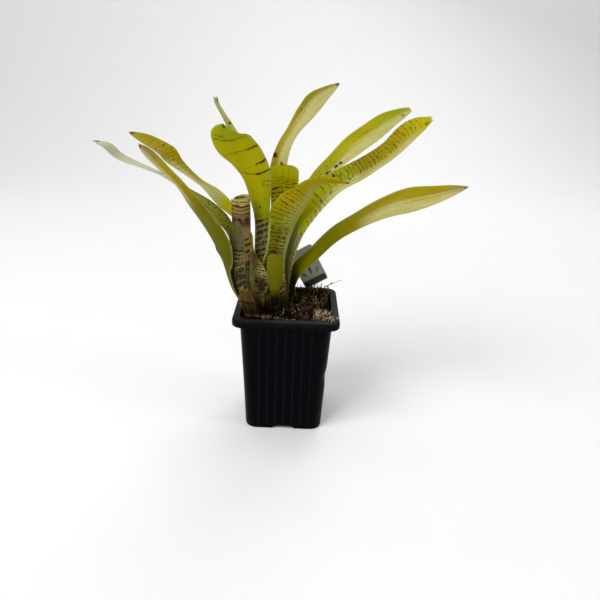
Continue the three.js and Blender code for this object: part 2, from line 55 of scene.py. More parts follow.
# Middle of each rosette at a few heights: x, y, z in millimetres
CENTRE_AXIS = ((-11, 10, 79), (-11, 10, 150))
LEFT_AXIS = (
    (-20.8, -10.8, 80), (-21.9, -10.8, 84), (-25.2, -10.5, 90), (-29, -9, 99), (-31, -7, 115),
    (-31.2, -6, 130), (-31.4, -6, 150), (-31.6, -8.5, 162),
)
# The course of each leaf from its foot to its tip, in millimetres and degrees. heading: the way it
# leans, tip: length of the part that narrows, blunt: how square its end is, 2 for an ellipse.
# sheath: rows round the rosette, as height, radius and wrap
# blade: rows of the free part, as x, y, z, width, roll and wrap
LEAVES = {
    "left_tube_leaf": dict(heading=335, tip=3, sheath=(
        (76, 2.4, 345), (83, 2.6, 345), (90, 3.1, 345), (99, 3.9, 345), (114, 5.1, 345), (126, 5.8, 350),
        (142, 5.7, 350), (158, 5.7, 350),
    )),
    "left_scale_leaf": dict(heading=256, tip=9, sheath=(
        (76, 3.6, 80), (83, 3.9, 85), (90, 4.5, 85), (99, 5.4, 85), (114, 6.6, 80), (128, 7.2, 70),
        (143.5, 7.3, 55),
    )),
    "left_leaf_upper": dict(heading=122, tip=9, blade=(
        (-21.2, -8.2, 75.9, 5, 0, 80), (-23, -8.2, 83, 5.5, 0, 80), (-26.9, -7.6, 90.2, 6.2, 0, 80),
        (-31.2, -5.4, 99.1, 7.5, 0, 80), (-33.5, -2.3, 113.8, 8.9, 0, 78),
        (-33.5, -0.8, 127.9, 9.3, 0, 76), (-33, 0.4, 142, 7.2, -26.4, 72),
        (-42.5, 3.4, 150.2, 10.8, 5, 50), (-52.2, 5.8, 158.7, 14, 24, 40), (-63.1, 8, 166, 13.6, 35, 40),
        (-73.8, 9, 174.4, 14.8, 29.6, 45), (-81.3, 9, 182.1, 16.3, 18.5, 40),
        (-91.8, 9, 187.9, 13.8, 13, 40), (-103.7, 9, 192.9, 7.4, 15.9, 30),
    )),
    "left_leaf_far": dict(heading=164, tip=4, blade=(
        (-23.5, -9.6, 76, 6.3, 0, 75), (-25.5, -9.4, 83.1, 6.8, 0, 75), (-29.3, -8.7, 89.9, 7.9, 0, 78),
        (-34.1, -6.9, 98.7, 9.2, 0, 78), (-37.5, -4.3, 113.6, 10.3, 0, 74),
        (-36.8, -2.3, 128.6, 11.8, 3, 68), (-43.6, 2.2, 139.8, 13.4, -8.9, 50),
        (-53.7, 5.2, 148.8, 12.9, -6.5, 40), (-67, 7.6, 157.3, 10.8, 4.1, 40),
        (-82.9, 10, 166.1, 9.1, 7.2, 40), (-97, 12, 171.1, 9, 0.8, 40), (-104.7, 13, 173.4, 9.8, -3.4, 35),
        (-113.3, 13, 177.4, 9.5, -6.4, 35), (-120.5, 13, 183.5, 8.6, -14.4, 30),
        (-128.5, 13, 186, 3.9, -15, 20),
    )),
    "left_leaf_near": dict(heading=186, tip=8, blade=(
        (-24.6, -10.4, 74.6, 8.7, 0, 76), (-26.7, -10.9, 82.6, 8.8, 0, 76), (-30.7, -10, 89.8, 9.5, 0, 78),
        (-35.6, -8.7, 98.7, 11.6, 0, 80), (-39.5, -7.9, 111.9, 15.3, 10.6, 74),
        (-41.2, -13.2, 121.9, 14.5, 47.7, 60), (-42.8, -14.2, 129.4, 15.9, 46.6, 50),
        (-49.8, -15, 141.6, 16.1, 44.8, 40), (-57.1, -17.4, 152.2, 13.3, 43.1, 40),
        (-66.4, -21, 165.9, 10.6, 41.9, 45), (-73.9, -24, 174.5, 10.5, 41.5, 40),
        (-80.8, -26, 182.2, 10.9, 41.3, 30), (-87.7, -28, 189.7, 8.8, 41.2, 20),
    )),
    "left_outer_sheath": dict(heading=265, tip=6, blade=(
        (-24.3, -15.3, 77.9, 10, 3, 78), (-24.6, -16.6, 85.1, 9.4, 2, 80),
        (-25.9, -16.5, 88.6, 10.6, 1.4, 84), (-27.1, -15.7, 93, 9.7, 0.9, 90),
        (-27.5, -14.1, 98.4, 9.8, -0.2, 92),
    )),
    "centre_leaf_broad": dict(heading=228, tip=7, blunt=2.4, blade=(
        (-16.1, 4.4, 77.1, 11.4, 0, 70), (-16.6, 4.4, 82.8, 13.2, 0, 70), (-17.5, 4.8, 96.1, 16.3, 0, 72),
        (-18.1, 4.8, 109.1, 16.2, 0, 72), (-18.2, 4.3, 123.5, 15.6, 0, 70),
        (-18.8, 3.8, 140.1, 13.9, 3.1, 72), (-20.3, 1.2, 158.8, 16.2, 26.3, 60),
        (-22.6, -3, 172, 20.2, 34.4, 55), (-28.3, -8, 183, 22.2, 39, 45),
        (-34.9, -12.5, 190, 25.3, 32.2, 35), (-38.5, -16.5, 196.1, 24.2, 17.3, 30),
        (-39.8, -20, 202.2, 18.3, -0.1, 26),
    )),
    "centre_leaf_banded": dict(heading=275, tip=8, blade=(
        (-10.4, 2.2, 74.6, 12.2, 0, 66), (-10.3, 0.4, 82.7, 14.3, 0, 70), (-9.5, 1.1, 89.4, 16.8, 0, 72),
        (-10.4, 0.6, 109.6, 16.7, 0, 72), (-8.7, -1.9, 120.4, 14.4, 0, 70),
        (-6.5, -3.4, 133.3, 16.2, 3, 66), (-3.4, -4.8, 147.3, 20.1, -5, 58),
        (1.2, -7.5, 155.1, 18.8, -10, 52), (6.6, -10.5, 161.5, 13.1, -11, 50),
        (12.8, -14.5, 168.4, 9.1, -14, 50), (20.7, -18, 171.1, 6.7, -31, 40),
        (35.3, -21, 171.2, 4.6, -34, 20),
    )),
    "centre_leaf_back": dict(heading=74, tip=8, blade=(
        (-8.6, 18.4, 75.7, 12, 0, 66), (-8.2, 19.4, 83, 13.5, 0, 66), (-7.5, 21.4, 96.9, 16.2, 0, 66),
        (-7.4, 22.6, 114.9, 15.8, 0, 60), (-6.9, 23.6, 134.9, 15.7, 0, 56),
        (-7.2, 23.2, 149.9, 15.1, 0, 56), (-9.4, 22.5, 170.9, 13.1, -6.5, 60),
        (-6, 25, 186.1, 11.6, -12.8, 50), (0.7, 29, 198, 11.9, -14.9, 45), (8.3, 32, 208.9, 13.3, 3.8, 40),
        (15, 35, 216.5, 13.1, 10.4, 40), (28.4, 38, 226.3, 3.6, -2.4, 20),
    )),
    "centre_leaf_narrow": dict(heading=140, tip=5, sheath=(
        (76, 10, 56), (83, 11.2, 58), (97, 13.4, 60), (120, 13.4, 55), (145, 12.5, 48),
    ), blade=(
        (-22.6, 15, 168.4, 7.8, -17.9, 50), (-28.4, 16, 180.2, 6.6, -22.7, 45),
        (-36.4, 18.5, 190, 6.4, -17.6, 40), (-43.1, 21, 200.6, 5.6, -5.5, 40),
        (-49.7, 24, 210.5, 4.9, 12.3, 30), (-51, 25, 214.5, 6.1, 6.6, 20),
    )),
    "centre_leaf_short": dict(heading=60, tip=5, blunt=2.6, sheath=(
        (76, 4.4, 90), (83, 5.2, 90), (97, 7, 90), (115, 8, 95),
    ), blade=(
        (-4, 15, 132, 18, 25, 70), (-4.4, 15.5, 150, 18.5, 30, 50), (-5, 16, 175, 19, 30, 35),
    )),
    "right_leaf_upper": dict(heading=12, tip=8, blade=(
        (-5.1, 14.2, 75, 8, 0, 70), (-4.3, 15.1, 82.4, 9, 0, 72), (-1.7, 15.9, 96.7, 9.5, 0, 72),
        (-2, 15.1, 109.7, 10, 0, 70), (0.9, 15.8, 123.5, 10.5, 5.2, 60), (5, 15.5, 135.6, 13.3, 12.4, 55),
        (9.3, 14.2, 150, 15.4, 25.6, 50), (17.2, 17, 166, 16.5, 26.8, 50), (29.8, 22, 179.5, 16.7, 29, 45),
        (40.7, 26, 189.1, 16.9, 43.3, 40), (51.4, 30, 196.6, 16.5, 46.8, 40),
        (62, 33, 204.5, 14.2, 44.2, 40), (76.8, 37, 212.1, 7, 38.4, 30),
    )),
    "right_leaf_lower": dict(heading=344, tip=8, blade=(
        (-2.4, 8.5, 74.2, 5.7, 13.6, 56), (-3.2, 7, 82.2, 7.2, 24.8, 58), (-2.7, 5, 95.6, 9.8, 56, 60),
        (-1.8, 3.7, 109, 11.6, 62.3, 58), (0.2, 2.3, 122.2, 13.3, 61.4, 50),
        (4.9, -1, 137.1, 14.8, 59.6, 52), (11.8, -2.8, 149.7, 17, 56.1, 50),
        (20.9, -3, 162.4, 17.9, 62.8, 45), (31.7, -5, 171, 15.8, 55.1, 45), (44, -8, 178.6, 15.2, 55, 40),
        (57.6, -11, 189, 14.8, 53.3, 40), (68.8, -13, 201.2, 14.8, 56.4, 40),
        (80.3, -16, 209.2, 8.1, 52.8, 30),
    )),
    "right_leaf_long": dict(heading=350, tip=12, blade=(
        (-0.3, 13.2, 72.1, 12.8, 7, 56), (-0.1, 10.9, 80.9, 15.2, 6.3, 60),
        (1.9, 11.2, 88, 13.8, 37.7, 62), (2.1, 11.7, 94.9, 15.2, 30, 62),
        (5.6, 4.1, 106.9, 11.2, 52.9, 60), (16.4, -2.2, 120.6, 11, 52.8, 55),
        (28.6, -8.8, 135.7, 12.6, 44.7, 50), (42.6, -12.7, 146.4, 13.2, 44.9, 45),
        (56.5, -15.6, 155, 15.8, 43.1, 40), (73, -16, 161.2, 18.9, 45.5, 35),
        (89, -18, 166, 16.4, 29.3, 35), (106.6, -21, 171.8, 8.6, 18.8, 20),
    )),
    "centre_left_sheath": dict(heading=202, tip=3, blade=(
        (-18.5, 5, 77.8, 19.5, 0, 96), (-21.2, 5.3, 86, 20.6, 19.2, 102),
        (-22.1, 6.3, 91.9, 26.7, 16.7, 104), (-20.6, 5.6, 100, 30.4, 13.9, 104),
        (-21.5, 4.7, 108.6, 25.7, 10.6, 84), (-23.7, 3.3, 115.7, 15.3, 7.6, 46),
        (-25.3, 2.1, 122, 9.6, 4.5, 24), (-25.1, 0.6, 132.2, 6.3, 1.5, 10),
    )),
    "centre_right_sheath": dict(heading=302, tip=8, blade=(
        (-5.9, 2.3, 75.2, 13.6, 0, 66), (-4.8, -0.3, 85.8, 14.7, 1.4, 70),
        (-5.2, -3.3, 93.7, 14.9, -0.1, 72), (-6.8, -2.4, 99, 13.5, -1.5, 72),
        (-5, -3.6, 110.4, 8, -2.6, 56),
    )),
    "centre_rear_sheath": dict(heading=92, tip=12, sheath=(
        (76, 11.8, 100), (83, 13.2, 106), (97, 15.6, 110), (114, 16.6, 98), (128, 17.6, 66),
    )),
    "front_short_leaf": dict(heading=268, tip=4, blunt=2.6, blade=(
        (-8.8, -5.8, 85.4, 4.4, 0.3, 40), (-8.4, -7.4, 91.3, 5.7, 0.2, 40), (-8.6, -8.6, 98.4, 7.6, 0, 40),
        (-8.5, -8.6, 109.8, 11.4, -0.1, 45), (-7.9, -8.1, 121, 11.5, -0.2, 40),
    )),
}

# Colour and marks of each leaf. Places along a leaf are millimetres from its foot, places across
# it run from -1 to 1, and a colour is one of the leaf colours in the settings.
# tones: (along, colour) up to the tip, after the dead brown foot at 0
# rings: (along, tilt, sag, from side, to side, thickness, strength), one curved line each
# dashes: (from, to, pitch, thickness, cover, from side, to side, slant), rows of broken short lines
# dots: (along, side, radius, strength)
# pale: (from, to, side where it starts, direction, strength, colour), the half that faces the light,
# painted paler as a sheen
# feather: (from, to, from side, to side, strength), fine slanting streaks
# edge: (colour, extra width, from, to), a margin of another colour
# ink and ring_ink: colour of the dashes and dots, and of the rings; fade: strength of the dashes
# foot: how far up the dark foot goes, dead husk and painted shade near the mix, vein: colour of the fine
# veins
# open, fork, torn, skew, blunt: how wide the end stays, its prongs, its ragged edge, its slope and
# how square it is
LOOKS = {
    "left_tube_leaf": dict(
        tones=((18, "earth"), (34, "grey"), (46, "tan"), (80, "tan"), (84, "cream")),
        rings=(
            (83.3, 0, 0, -1.1, 1.1, 0.7, 0.9), (80.3, 0, 0.6, -1.1, 1.1, 1.5, 0.95),
            (77.8, 0, 0.8, -1.1, 1.1, 0.9, 0.9), (75.4, 0, -0.5, -1.1, 1.1, 1.1, 0.85),
        ),
        dashes=(
            (66, 74, 2.6, 2.8, 0.85, -1.1, 1.1, 0), (22, 66, 4.7, 2.2, 0.54, -1.1, 1.1, 2),
            (16, 62, 2.1, 0.7, 0.44, -1.1, 1.1, 1.5),
        ),
        dots=((71, -0.12, 2.2, 0.9), (69, 0.4, 2.4, 0.8)),
        vein="pale", torn=0.35,
    ),
    "left_scale_leaf": dict(
        tones=((14, "earth"), (32, "grey"), (42, "sage"), (52, "grey")),
        rings=(
            (50.0, 0, 1.2, -0.8, 0.8, 1.2, 1), (47.2, 0, 1.2, -0.8, 0.85, 1.0, 0.95),
            (44.6, 0, 1.2, -0.85, 0.7, 1.1, 1), (41.6, 0, 1.0, -0.5, 0.8, 0.8, 0.8),
        ),
        dashes=(
            (6, 42, 4.3, 2.9, 0.6, -1, 0.9, 1.6), (8, 44, 2.3, 1.2, 0.62, -1, 0.9, 1.2),
            (50, 66, 2.4, 0.6, 0.5, -1, 1, 2),
        ),
        dots=((34, -0.2, 1.8, 0.9), (27, 0.1, 1.6, 0.8), (38, 0.3, 1.2, 0.8)),
        vein="pale", edge=("cream", 0.0, 56, 66),
    ),
    "left_leaf_upper": dict(
        tones=((40, "cream"), (66, "green"), (82, "bright"), (92, "pale"), (106, "gold")),
        dashes=((112, 150, 3.1, 0.36, 0.5, -1, 0.8, 1.5), (66, 84, 2.0, 0.4, 0.3, -1, 1, 0)),
        dots=((157.4, -0.2, 1.8, 0.8),),
        pale=(92, 124, -0.1, 1, 0.75, "painted_sheen"), ink="umber",
    ),
    "left_leaf_far": dict(
        tones=((35, "grey"), (55, "olive"), (84, "green"), (98, "green"), (103, "pale"), (109, "ash")),
        dashes=((40, 106, 1.9, 0.8, 0.46, -1, 1, 0),),
        dots=(
            (167.5, -0.3, 1.6, 0.9), (118, -0.7, 1.5, 0.9), (121.5, -0.3, 1.0, 0.8), (115, -0.5, 1.0, 0.8),
            (124, -0.8, 0.8, 0.7),
        ),
        feather=(118, 168, -1, 1, 0.35), torn=0.5, open=0.4,
    ),
    "left_leaf_near": dict(
        tones=((16, "deep"), (56, "deep"), (84, "moss"), (112, "gold"), (137, "tan")),
        dashes=((50, 86, 2.6, 0.4, 0.14, -1, -0.3, 1), (104, 133, 2.6, 0.34, 0.35, -1, 1, 0)),
        dots=((136, -0.3, 1.2, 0.8),),
        pale=(92, 137, 0.05, -1, 0.7, "painted_sheen"), feather=(94, 137, -1, 1, 0.5), ink="umber",
    ),
    "left_outer_sheath": dict(
        tones=((9, "husk_and_shade"), (14, "earth"), (19, "earth"), (23, "tan")),
        rings=((12.2, -2.4, 0, -1, 1, 2.4, 0.9),),
        dashes=((11, 21, 1.7, 0.5, 0.6, -1, 1, 1.5),),
        foot=5, vein="pale", torn=1.4, open=0.86, skew=-2.4, edge=("tan", 0.0, 8, 24), ink="umber",
        ring_ink="husk_and_shade",
    ),
    "centre_leaf_broad": dict(
        tones=(
            (22, "grey"), (36, "sage"), (56, "sage"), (68, "green"), (92, "bright"), (116, "bright"),
            (134, "green"),
        ),
        rings=(
            (125.3, -1.8, 0, -0.96, 0.9, 1.0, 0.75), (127.8, -1.2, 0, -0.7, -0.15, 1.6, 0.45),
            (115.6, -4.3, 0, -0.45, 0.95, 0.75, 0.8), (114.0, -2.6, 0, 0.35, 0.95, 1.1, 0.9),
            (114.6, -5.0, 0, -0.62, -0.2, 0.5, 0.5), (102.6, 0.2, 0, 0.28, 1.05, 1.5, 1),
            (97.0, -2.3, 2.4, -0.97, 1.05, 0.9, 1), (97.0, -2.3, 2.4, 0.0, 0.8, 1.5, 1),
            (102.4, -1, 0, -0.5, -0.05, 0.45, 0.6), (91.4, -1.2, 0, 0.45, 0.95, 0.8, 0.9),
            (88.9, -1.2, 0, 0.35, 0.95, 0.7, 0.9),
        ),
        dashes=((26, 66, 4.1, 2.1, 0.6, -1, 1, 3.5), (24, 60, 2.3, 0.7, 0.3, -1, 1, 3.5)),
        dots=((73.7, 0.1, 0.7, 0.9), (78.8, 0.53, 0.6, 0.8), (84, -0.35, 0.4, 0.6), (134.6, 0.1, 1.3, 0.8)),
        ring_ink="blood", torn=0.3, open=0.1, blunt=1.5,
    ),
    "centre_leaf_banded": dict(
        tones=((14, "deep"), (38, "deep"), (54, "moss"), (68, "leafy"), (84, "gold")),
        dashes=((30, 66, 2.6, 1.2, 0.66, -0.85, 0.6, 0.6), (58, 96, 2.9, 0.62, 0.64, -0.85, 0.5, 0.6)),
        dots=((126, 0, 1.0, 0.8),),
        pale=(34, 122, 0.15, 1, 0.62, "pale"), feather=(46, 124, 0.1, 1.05, 0.8),
        edge=("pale", 0.12, 26, 66), ink="umber", fade=0.8,
    ),
    "centre_leaf_back": dict(
        tones=((30, "grey"), (60, "green"), (90, "gold"), (120, "gold"), (167, "olive")),
        dashes=((108, 156, 3.1, 0.45, 0.34, 0.1, 1, 1.5), (104, 150, 4.3, 0.4, 0.2, -1, 0.1, 2)),
        dots=(
            (104.8, 0.8, 1.9, 1), (99.9, -0.27, 1.3, 1), (166.2, 0.1, 1.2, 0.9), (101.2, -0.1, 0.8, 0.8),
            (104, 0.45, 0.7, 0.6),
        ),
        pale=(90, 168, 0.34, -1, 0.85, "painted_sheen"), feather=(94, 168, -1, 1, 0.9), ink="umber", torn=0.5,
        blunt=2.8, open=0.2,
    ),
    "centre_leaf_narrow": dict(
        tones=((40, "green"), (100, "green"), (150, "pale")),
        dashes=((96, 140, 3.2, 0.4, 0.2, -1, 1, 1),),
        dots=((131, -0.4, 1.3, 0.9), (147.6, -0.7, 0.8, 1)),
        pale=(110, 150, 0.1, -1, 0.3, "painted_sheen"), open=0.55, fork=2.2,
    ),
    "centre_leaf_short": dict(
        tones=((40, "green"), (80, "bright")),
        rings=((99.2, 0, 0, -0.95, 0.95, 0.6, 0.5),),
        dashes=((72, 88, 2.7, 0.9, 0.62, -0.95, 0.95, -0.6), (80, 92, 1.9, 0.45, 0.5, -0.9, 0.9, 0)),
    ),
    "right_leaf_upper": dict(
        tones=((30, "grey"), (60, "green"), (100, "green"), (130, "bright"), (172, "green")),
        dashes=((80, 112, 3.1, 0.7, 0.34, -1, 0.5, 0), (118, 160, 4.6, 0.34, 0.26, -0.6, 0.8, 2)),
        dots=(
            (110.6, -0.38, 1.9, 1), (114.2, -0.47, 1.6, 1), (103.3, -0.17, 1.8, 1), (97.5, 0.15, 1.4, 1),
            (168, -0.4, 1.4, 0.5), (119, 0.05, 0.6, 0.7), (105.5, -0.3, 0.9, 0.9), (100, 0.3, 0.7, 0.8),
        ),
        pale=(98, 176, 0.02, -1, 0.85, "painted_sheen"), feather=(90, 174, -1, 0.6, 1.0), ink="blood", open=0.34,
        torn=0.5, blunt=2.8, fork=1.0,
    ),
    "right_leaf_lower": dict(
        tones=(
            (14, "sage"), (54, "sage"), (70, "green"), (112, "green"), (124, "olive"), (150, "gold"),
            (168, "bright"),
        ),
        dashes=(
            (84, 116, 4.6, 0.9, 0.6, -0.5, 0.6, 1.0), (30, 92, 4.2, 1.1, 0.62, -1, -0.4, 1.5),
            (104, 166, 2.6, 0.5, 0.62, -0.35, 1, -0.6), (110, 160, 3.7, 0.34, 0.5, -0.5, 1, -1.4),
            (24, 84, 2.6, 0.6, 0.34, -1, 1, 2),
        ),
        dots=((114, -0.3, 0.9, 0.8), (105, 0.68, 1.3, 1), (169.5, -0.4, 1.6, 0.6)),
        pale=(84, 160, -0.36, -1, 0.8, "painted_sheen"), feather=(60, 168, -1, -0.1, 0.9), ink="umber",
        edge=("cream", 0.06, 20, 80), open=0.4, fork=1.6, torn=0.5, fade=0.75,
    ),
    "right_leaf_long": dict(
        tones=(
            (6, "earth"), (15, "moss"), (76, "moss"), (104, "olive"), (124, "gold"), (150, "gold"),
            (165, "tan"),
        ),
        dashes=((18, 60, 2.8, 0.7, 0.3, -1, 1, 1), (60, 150, 3.7, 0.34, 0.24, -1, 1, 0)),
        dots=((164, -0.2, 1.0, 0.8), (45, -0.2, 0.6, 0.9), (40, 0.3, 0.5, 0.8), (27, 0.2, 0.9, 0.8)),
        foot=6, pale=(100, 160, 0.08, -1, 0.85, "painted_sheen"), feather=(98, 165, -1, 0.6, 0.9), ink="umber",
    ),
    "centre_left_sheath": dict(
        tones=(
            (5, "earth"), (11, "tan"), (24, "cream"), (31, "cream"), (37, "tan"), (40, "rust"),
            (43, "rust"), (46, "sunny"),
        ),
        dashes=(
            (8, 22, 2.6, 1.0, 0.5, -0.9, 1, 1), (26, 38, 1.9, 0.7, 0.6, -0.9, 1, -1),
            (18, 29, 2.2, 1.5, 0.72, 0.3, 1, 1),
        ),
        dots=((23.4, 0.7, 3.6, 0.95), (25.6, 0.5, 2.6, 0.8), (20.4, 0.75, 2.8, 0.95)),
        foot=4, vein="pale", edge=("cream", 0.08, 8, 36),
    ),
    "centre_right_sheath": dict(
        tones=((10, "husk_and_shade"), (15, "earth"), (21, "tan"), (30, "cream")),
        dashes=((12, 35, 2.9, 1.7, 0.66, -1, 1, 1),),
        dots=((20, 0.7, 2.2, 0.9),),
        foot=6, vein="pale", edge=("cream", 0.1, 24, 38), torn=0.6,
    ),
    "centre_rear_sheath": dict(
        tones=((14, "tan"), (30, "olive"), (52, "green")),
        dashes=((8, 44, 3.0, 1.2, 0.5, -1, 1, 1),),
        foot=8, vein="pale", edge=("cream", 0.0, 18, 60),
    ),
    "front_short_leaf": dict(
        tones=((5, "husk_and_shade"), (13, "moss")),
        dashes=((4, 12, 2.4, 0.6, 0.3, -1, 1, 0),),
        foot=7, fade=0.5,
    ),
}


def linear(hex_colour):
    """An sRGB colour such as 0x8a8a18 as the linear values that Blender keeps."""
    parts = [((hex_colour >> shift) & 255) / 255 for shift in (16, 8, 0)]
    return tuple(((c + 0.055) / 1.055) ** 2.4 if c > 0.04 else c / 12.92 for c in parts) + (1.0,)


def tone(label, hex_colour, note):
    return bpy.props.FloatVectorProperty(
        name=label, description=note, subtype="COLOR", size=4, min=0, max=1, default=linear(hex_colour),
    )


def size(label, millimetres, note):
    return bpy.props.FloatProperty(
        name=label, description=note, subtype="DISTANCE", unit="LENGTH", min=0, precision=5,
        default=millimetres * MM,
    )


def amount(label, number, note):
    return bpy.props.IntProperty(name=label, description=note, default=number, min=0)


def power(label, strength, note):
    return bpy.props.FloatProperty(name=label, description=note, default=strength, min=0)


class LeafColours(bpy.types.PropertyGroup):
    """Colours that the leaves share."""

    bright: tone("Bright", 0xaca600, "Sunlit face of the broad leaf")
    green: tone("Green", 0x929600, "Main leaf green")
    gold: tone("Gold", 0x9c8c00, "Yellow green of a folded blade")
    olive: tone("Olive", 0x857a00, "Older leaf green")
    leafy: tone("Shaded green", 0x787a00, "Leaf green away from the light")
    deep: tone("Deep", 0x565400, "Shaded foot of a blade")
    moss: tone("Moss", 0x656300, "Short front leaf")
    pale: tone("Pale", 0xa9ac60, "Blade where it is thin")
    # Painted sheen: the half of a folded blade that faces the light is painted this pale colour.
    painted_sheen: tone("Silver", 0xcdc98e, "Half of a blade that looks silvery")
    cream: tone("Cream", 0xaea25c, "Papery sheath margin")
    tan: tone("Tan", 0x8c7540, "Upper sheath")
    grey: tone("Grey", 0x5a5634, "Lower sheath")
    rust: tone("Rust", 0x7e5210, "Ageing sheath")
    earth: tone("Earth", 0x4a3a14, "Ageing sheath near the mix")
    sunny: tone("Sunny", 0xdcd800, "Tip with the sun behind it")
    sage: tone("Sage", 0x7e7c4c, "Grey green under the dark bands")
    ash: tone("Ash", 0xc8c8b0, "Blade that has lost its green")
    # Also painted shade: every leaf darkens towards this colour near its foot.
    husk_and_shade: tone("Husk", 0x241a0c, "Dead sheath at the foot")
    mark: tone("Mark", 0x260d0c, "Dark purple bands and spots")
    blood: tone("Red brown", 0x5e1406, "Rings and spots on the thin blades")
    umber: tone("Umber", 0x473004, "Thin brown dashes")


class LeafShape(bpy.types.PropertyGroup):
    """How every leaf is built from its rows."""

    midrib: size("Midrib", 0.8, "Thickness along the middle of a leaf")
    margin: size("Margin", 0.3, "Thickness near the edge of a leaf")
    row_step: size("Row step", 1.3, "Distance between rows of the mesh along a leaf")
    columns: amount("Columns", 18, "Fewest faces across a leaf")
    ripple: size("Ripple", 0.22, "Height of the gentle waves along a blade")


class PotShape(bpy.types.PropertyGroup):
    """Sizes and colours of the pot."""

    rim: size("Rim", 70, "Width over the rim")
    rim_corner: size("Rim corner", 8, "Corner radius of the rim")
    height: size("Height", 84, "Height of the pot")
    lip: size("Lip", 5, "Height of the lip")
    lip_wall: size("Lip wall", 1, "Thickness of the lip")
    body_top: size("Body top", 61.5, "Width of the body under the rim")
    body_base: size("Body base", 52.8, "Width of the body at the foot")
    corner_top: size("Top corner", 9, "Corner radius of the body under the rim")
    corner_base: size("Base corner", 8.4, "Corner radius of the body at the foot")
    wall: size("Wall", 0.8, "Wall thickness")
    floor: size("Floor", 1.6, "Thickness of the floor")
    flute_pitch: size("Flute pitch", 5.75, "Distance between flutes")
    flute_depth: size("Flute depth", 0.6, "Depth of a flute")
    slot_width: size("Slot width", 15, "Width of a foot slot")
    slot_height: size("Slot height", 2.8, "Height of a foot slot")
    drain_radius: size("Drain radius", 3.2, "Radius of a drain hole")
    drain_offset: size("Drain offset", 13, "Distance of the drain holes from the middle")
    plastic: tone("Plastic", 0x020305, "Black pot plastic")
    # Also painted sheen: this grey lightens the lip and the rim top of the pot as well as its dust.
    dust_and_sheen: tone("Dust", 0x3c3e3c, "Dust and dried water on the pot")
    # Painted highlight: the flutes are painted this blue grey, as if they catch the light.
    groove_glint: tone("Worn grooves", 0x222c36, "Grooves that catch the light")


class MixShape(bpy.types.PropertyGroup):
    """The potting mix and what lies on it."""

    top: size("Top", 79.4, "Level of the mix")
    crumbs: amount("Crumbs", 1500, "Loose crumbs on the mix")
    chaff: amount("Chaff", 210, "Pale bits on the front of the mix")
    fibres: amount("Fibres", 780, "Coarse fibres in the mix")
    strands: amount("Moss strands", 300, "Strands in the moss")
    peat: tone("Peat", 0x060402, "Dark fine mix")
    bark: tone("Bark", 0x33200e, "Bark pieces")
    fibre: tone("Fibre", 0x73512c, "Coarse fibre")
    pale: tone("Pale crumbs", 0xb8a888, "Dry pale crumbs")
    moss: tone("Dry moss", 0xc4b695, "Dry moss")
    stake: tone("Stake", 0x14110e, "Thin stake")
    root: tone("Dry root", 0x8d8268, "Dry root over the rim")


class LabelShape(bpy.types.PropertyGroup):
    """The flat plant label."""

    width: size("Width", 18, "Width of the tag")
    height: size("Height", 28, "Height of the tag")
    thick: size("Thickness", 0.8, "Thickness of the tag")
    corner: size("Corner", 1.4, "Corner radius of the tag")
    leg_width: size("Leg width", 4, "Width of the leg")
    leg_length: size("Leg length", 17, "Length of the leg")
    card: tone("Card", 0xa2a391, "Card of the tag")
    paler: tone("Worn card", 0xc6c6b8, "Card where it is rubbed")
    band: tone("Band", 0x1f3414, "Dark band and leaf shapes on the tag")
    soil: tone("Soil", 0x3a2c1c, "Soil on the leg")


class StageSettings(bpy.types.PropertyGroup):
    """Floor, lights and camera."""

    ground: tone("Ground", 0xfafafa, "Floor and backdrop")
    key: power("Key", 15, "Large light above the left")
    fill: power("Fill", 3, "Light from the right")
    back: power("Back", 5, "Light behind the plant")
    wall: power("Wall", 5, "Light on the backdrop")
    sky: power("Sky", 0.34, "Strength of the even light")
    lens: bpy.props.FloatProperty(
        name="Lens", description="Focal length on a 36 mm sensor", subtype="DISTANCE_CAMERA", default=34.2,
    )


class PlantSettings(bpy.types.PropertyGroup):
    """All settings of the potted plant."""

    colours: bpy.props.PointerProperty(type=LeafColours)
    leaf: bpy.props.PointerProperty(type=LeafShape)
    pot: bpy.props.PointerProperty(type=PotShape)
    mix: bpy.props.PointerProperty(type=MixShape)
    label: bpy.props.PointerProperty(type=LabelShape)
    stage: bpy.props.PointerProperty(type=StageSettings)


class InMillimetres:
    """Reads the lengths of a settings group in millimetres."""

    def __init__(self, group):
        self.group = group

    def __getattr__(self, key):
        return getattr(self.group, key) / MM


class Signal:
    """A value that varies over a surface. Arithmetic on it adds Math nodes."""

    def __init__(self, finish, socket):
        self.finish = finish
        self.socket = socket

    def math(self, operation, *terms):
        return self.finish.make("ShaderNodeMath", {"operation": operation}, dict(enumerate(terms)))

    def __add__(self, other):
        return self.math("ADD", self, other)

    def __sub__(self, other):
        return self.math("SUBTRACT", self, other)

    def __rsub__(self, other):
        return self.math("SUBTRACT", other, self)

    def __mul__(self, other):
        return self.math("MULTIPLY", self, other)

    def __truediv__(self, other):
        return self.math("DIVIDE", self, other)

    def __rtruediv__(self, other):
        return self.math("DIVIDE", other, self)

    def __abs__(self):
        return self.math("ABSOLUTE", self)

    __radd__ = __add__
    __rmul__ = __mul__

    def floor(self):
        return self.math("FLOOR", self)

    def fraction(self):
        return self.math("FRACT", self)

    def root(self):
        return self.math("SQRT", self)

    def most(self, other):
        return self.math("MAXIMUM", self, other)

    def rise(self, low, high):
        """0 below low, 1 above high, smooth between them. Falls where low is above high."""
        return self.finish.make(
            "ShaderNodeMapRange", {"interpolation_type": "SMOOTHSTEP"},
            {"Value": self, "From Min": low, "From Max": high},
        )

    def within(self, low, high, soft):
        return self.rise(low - soft, low + soft) * self.rise(high + soft, high - soft)


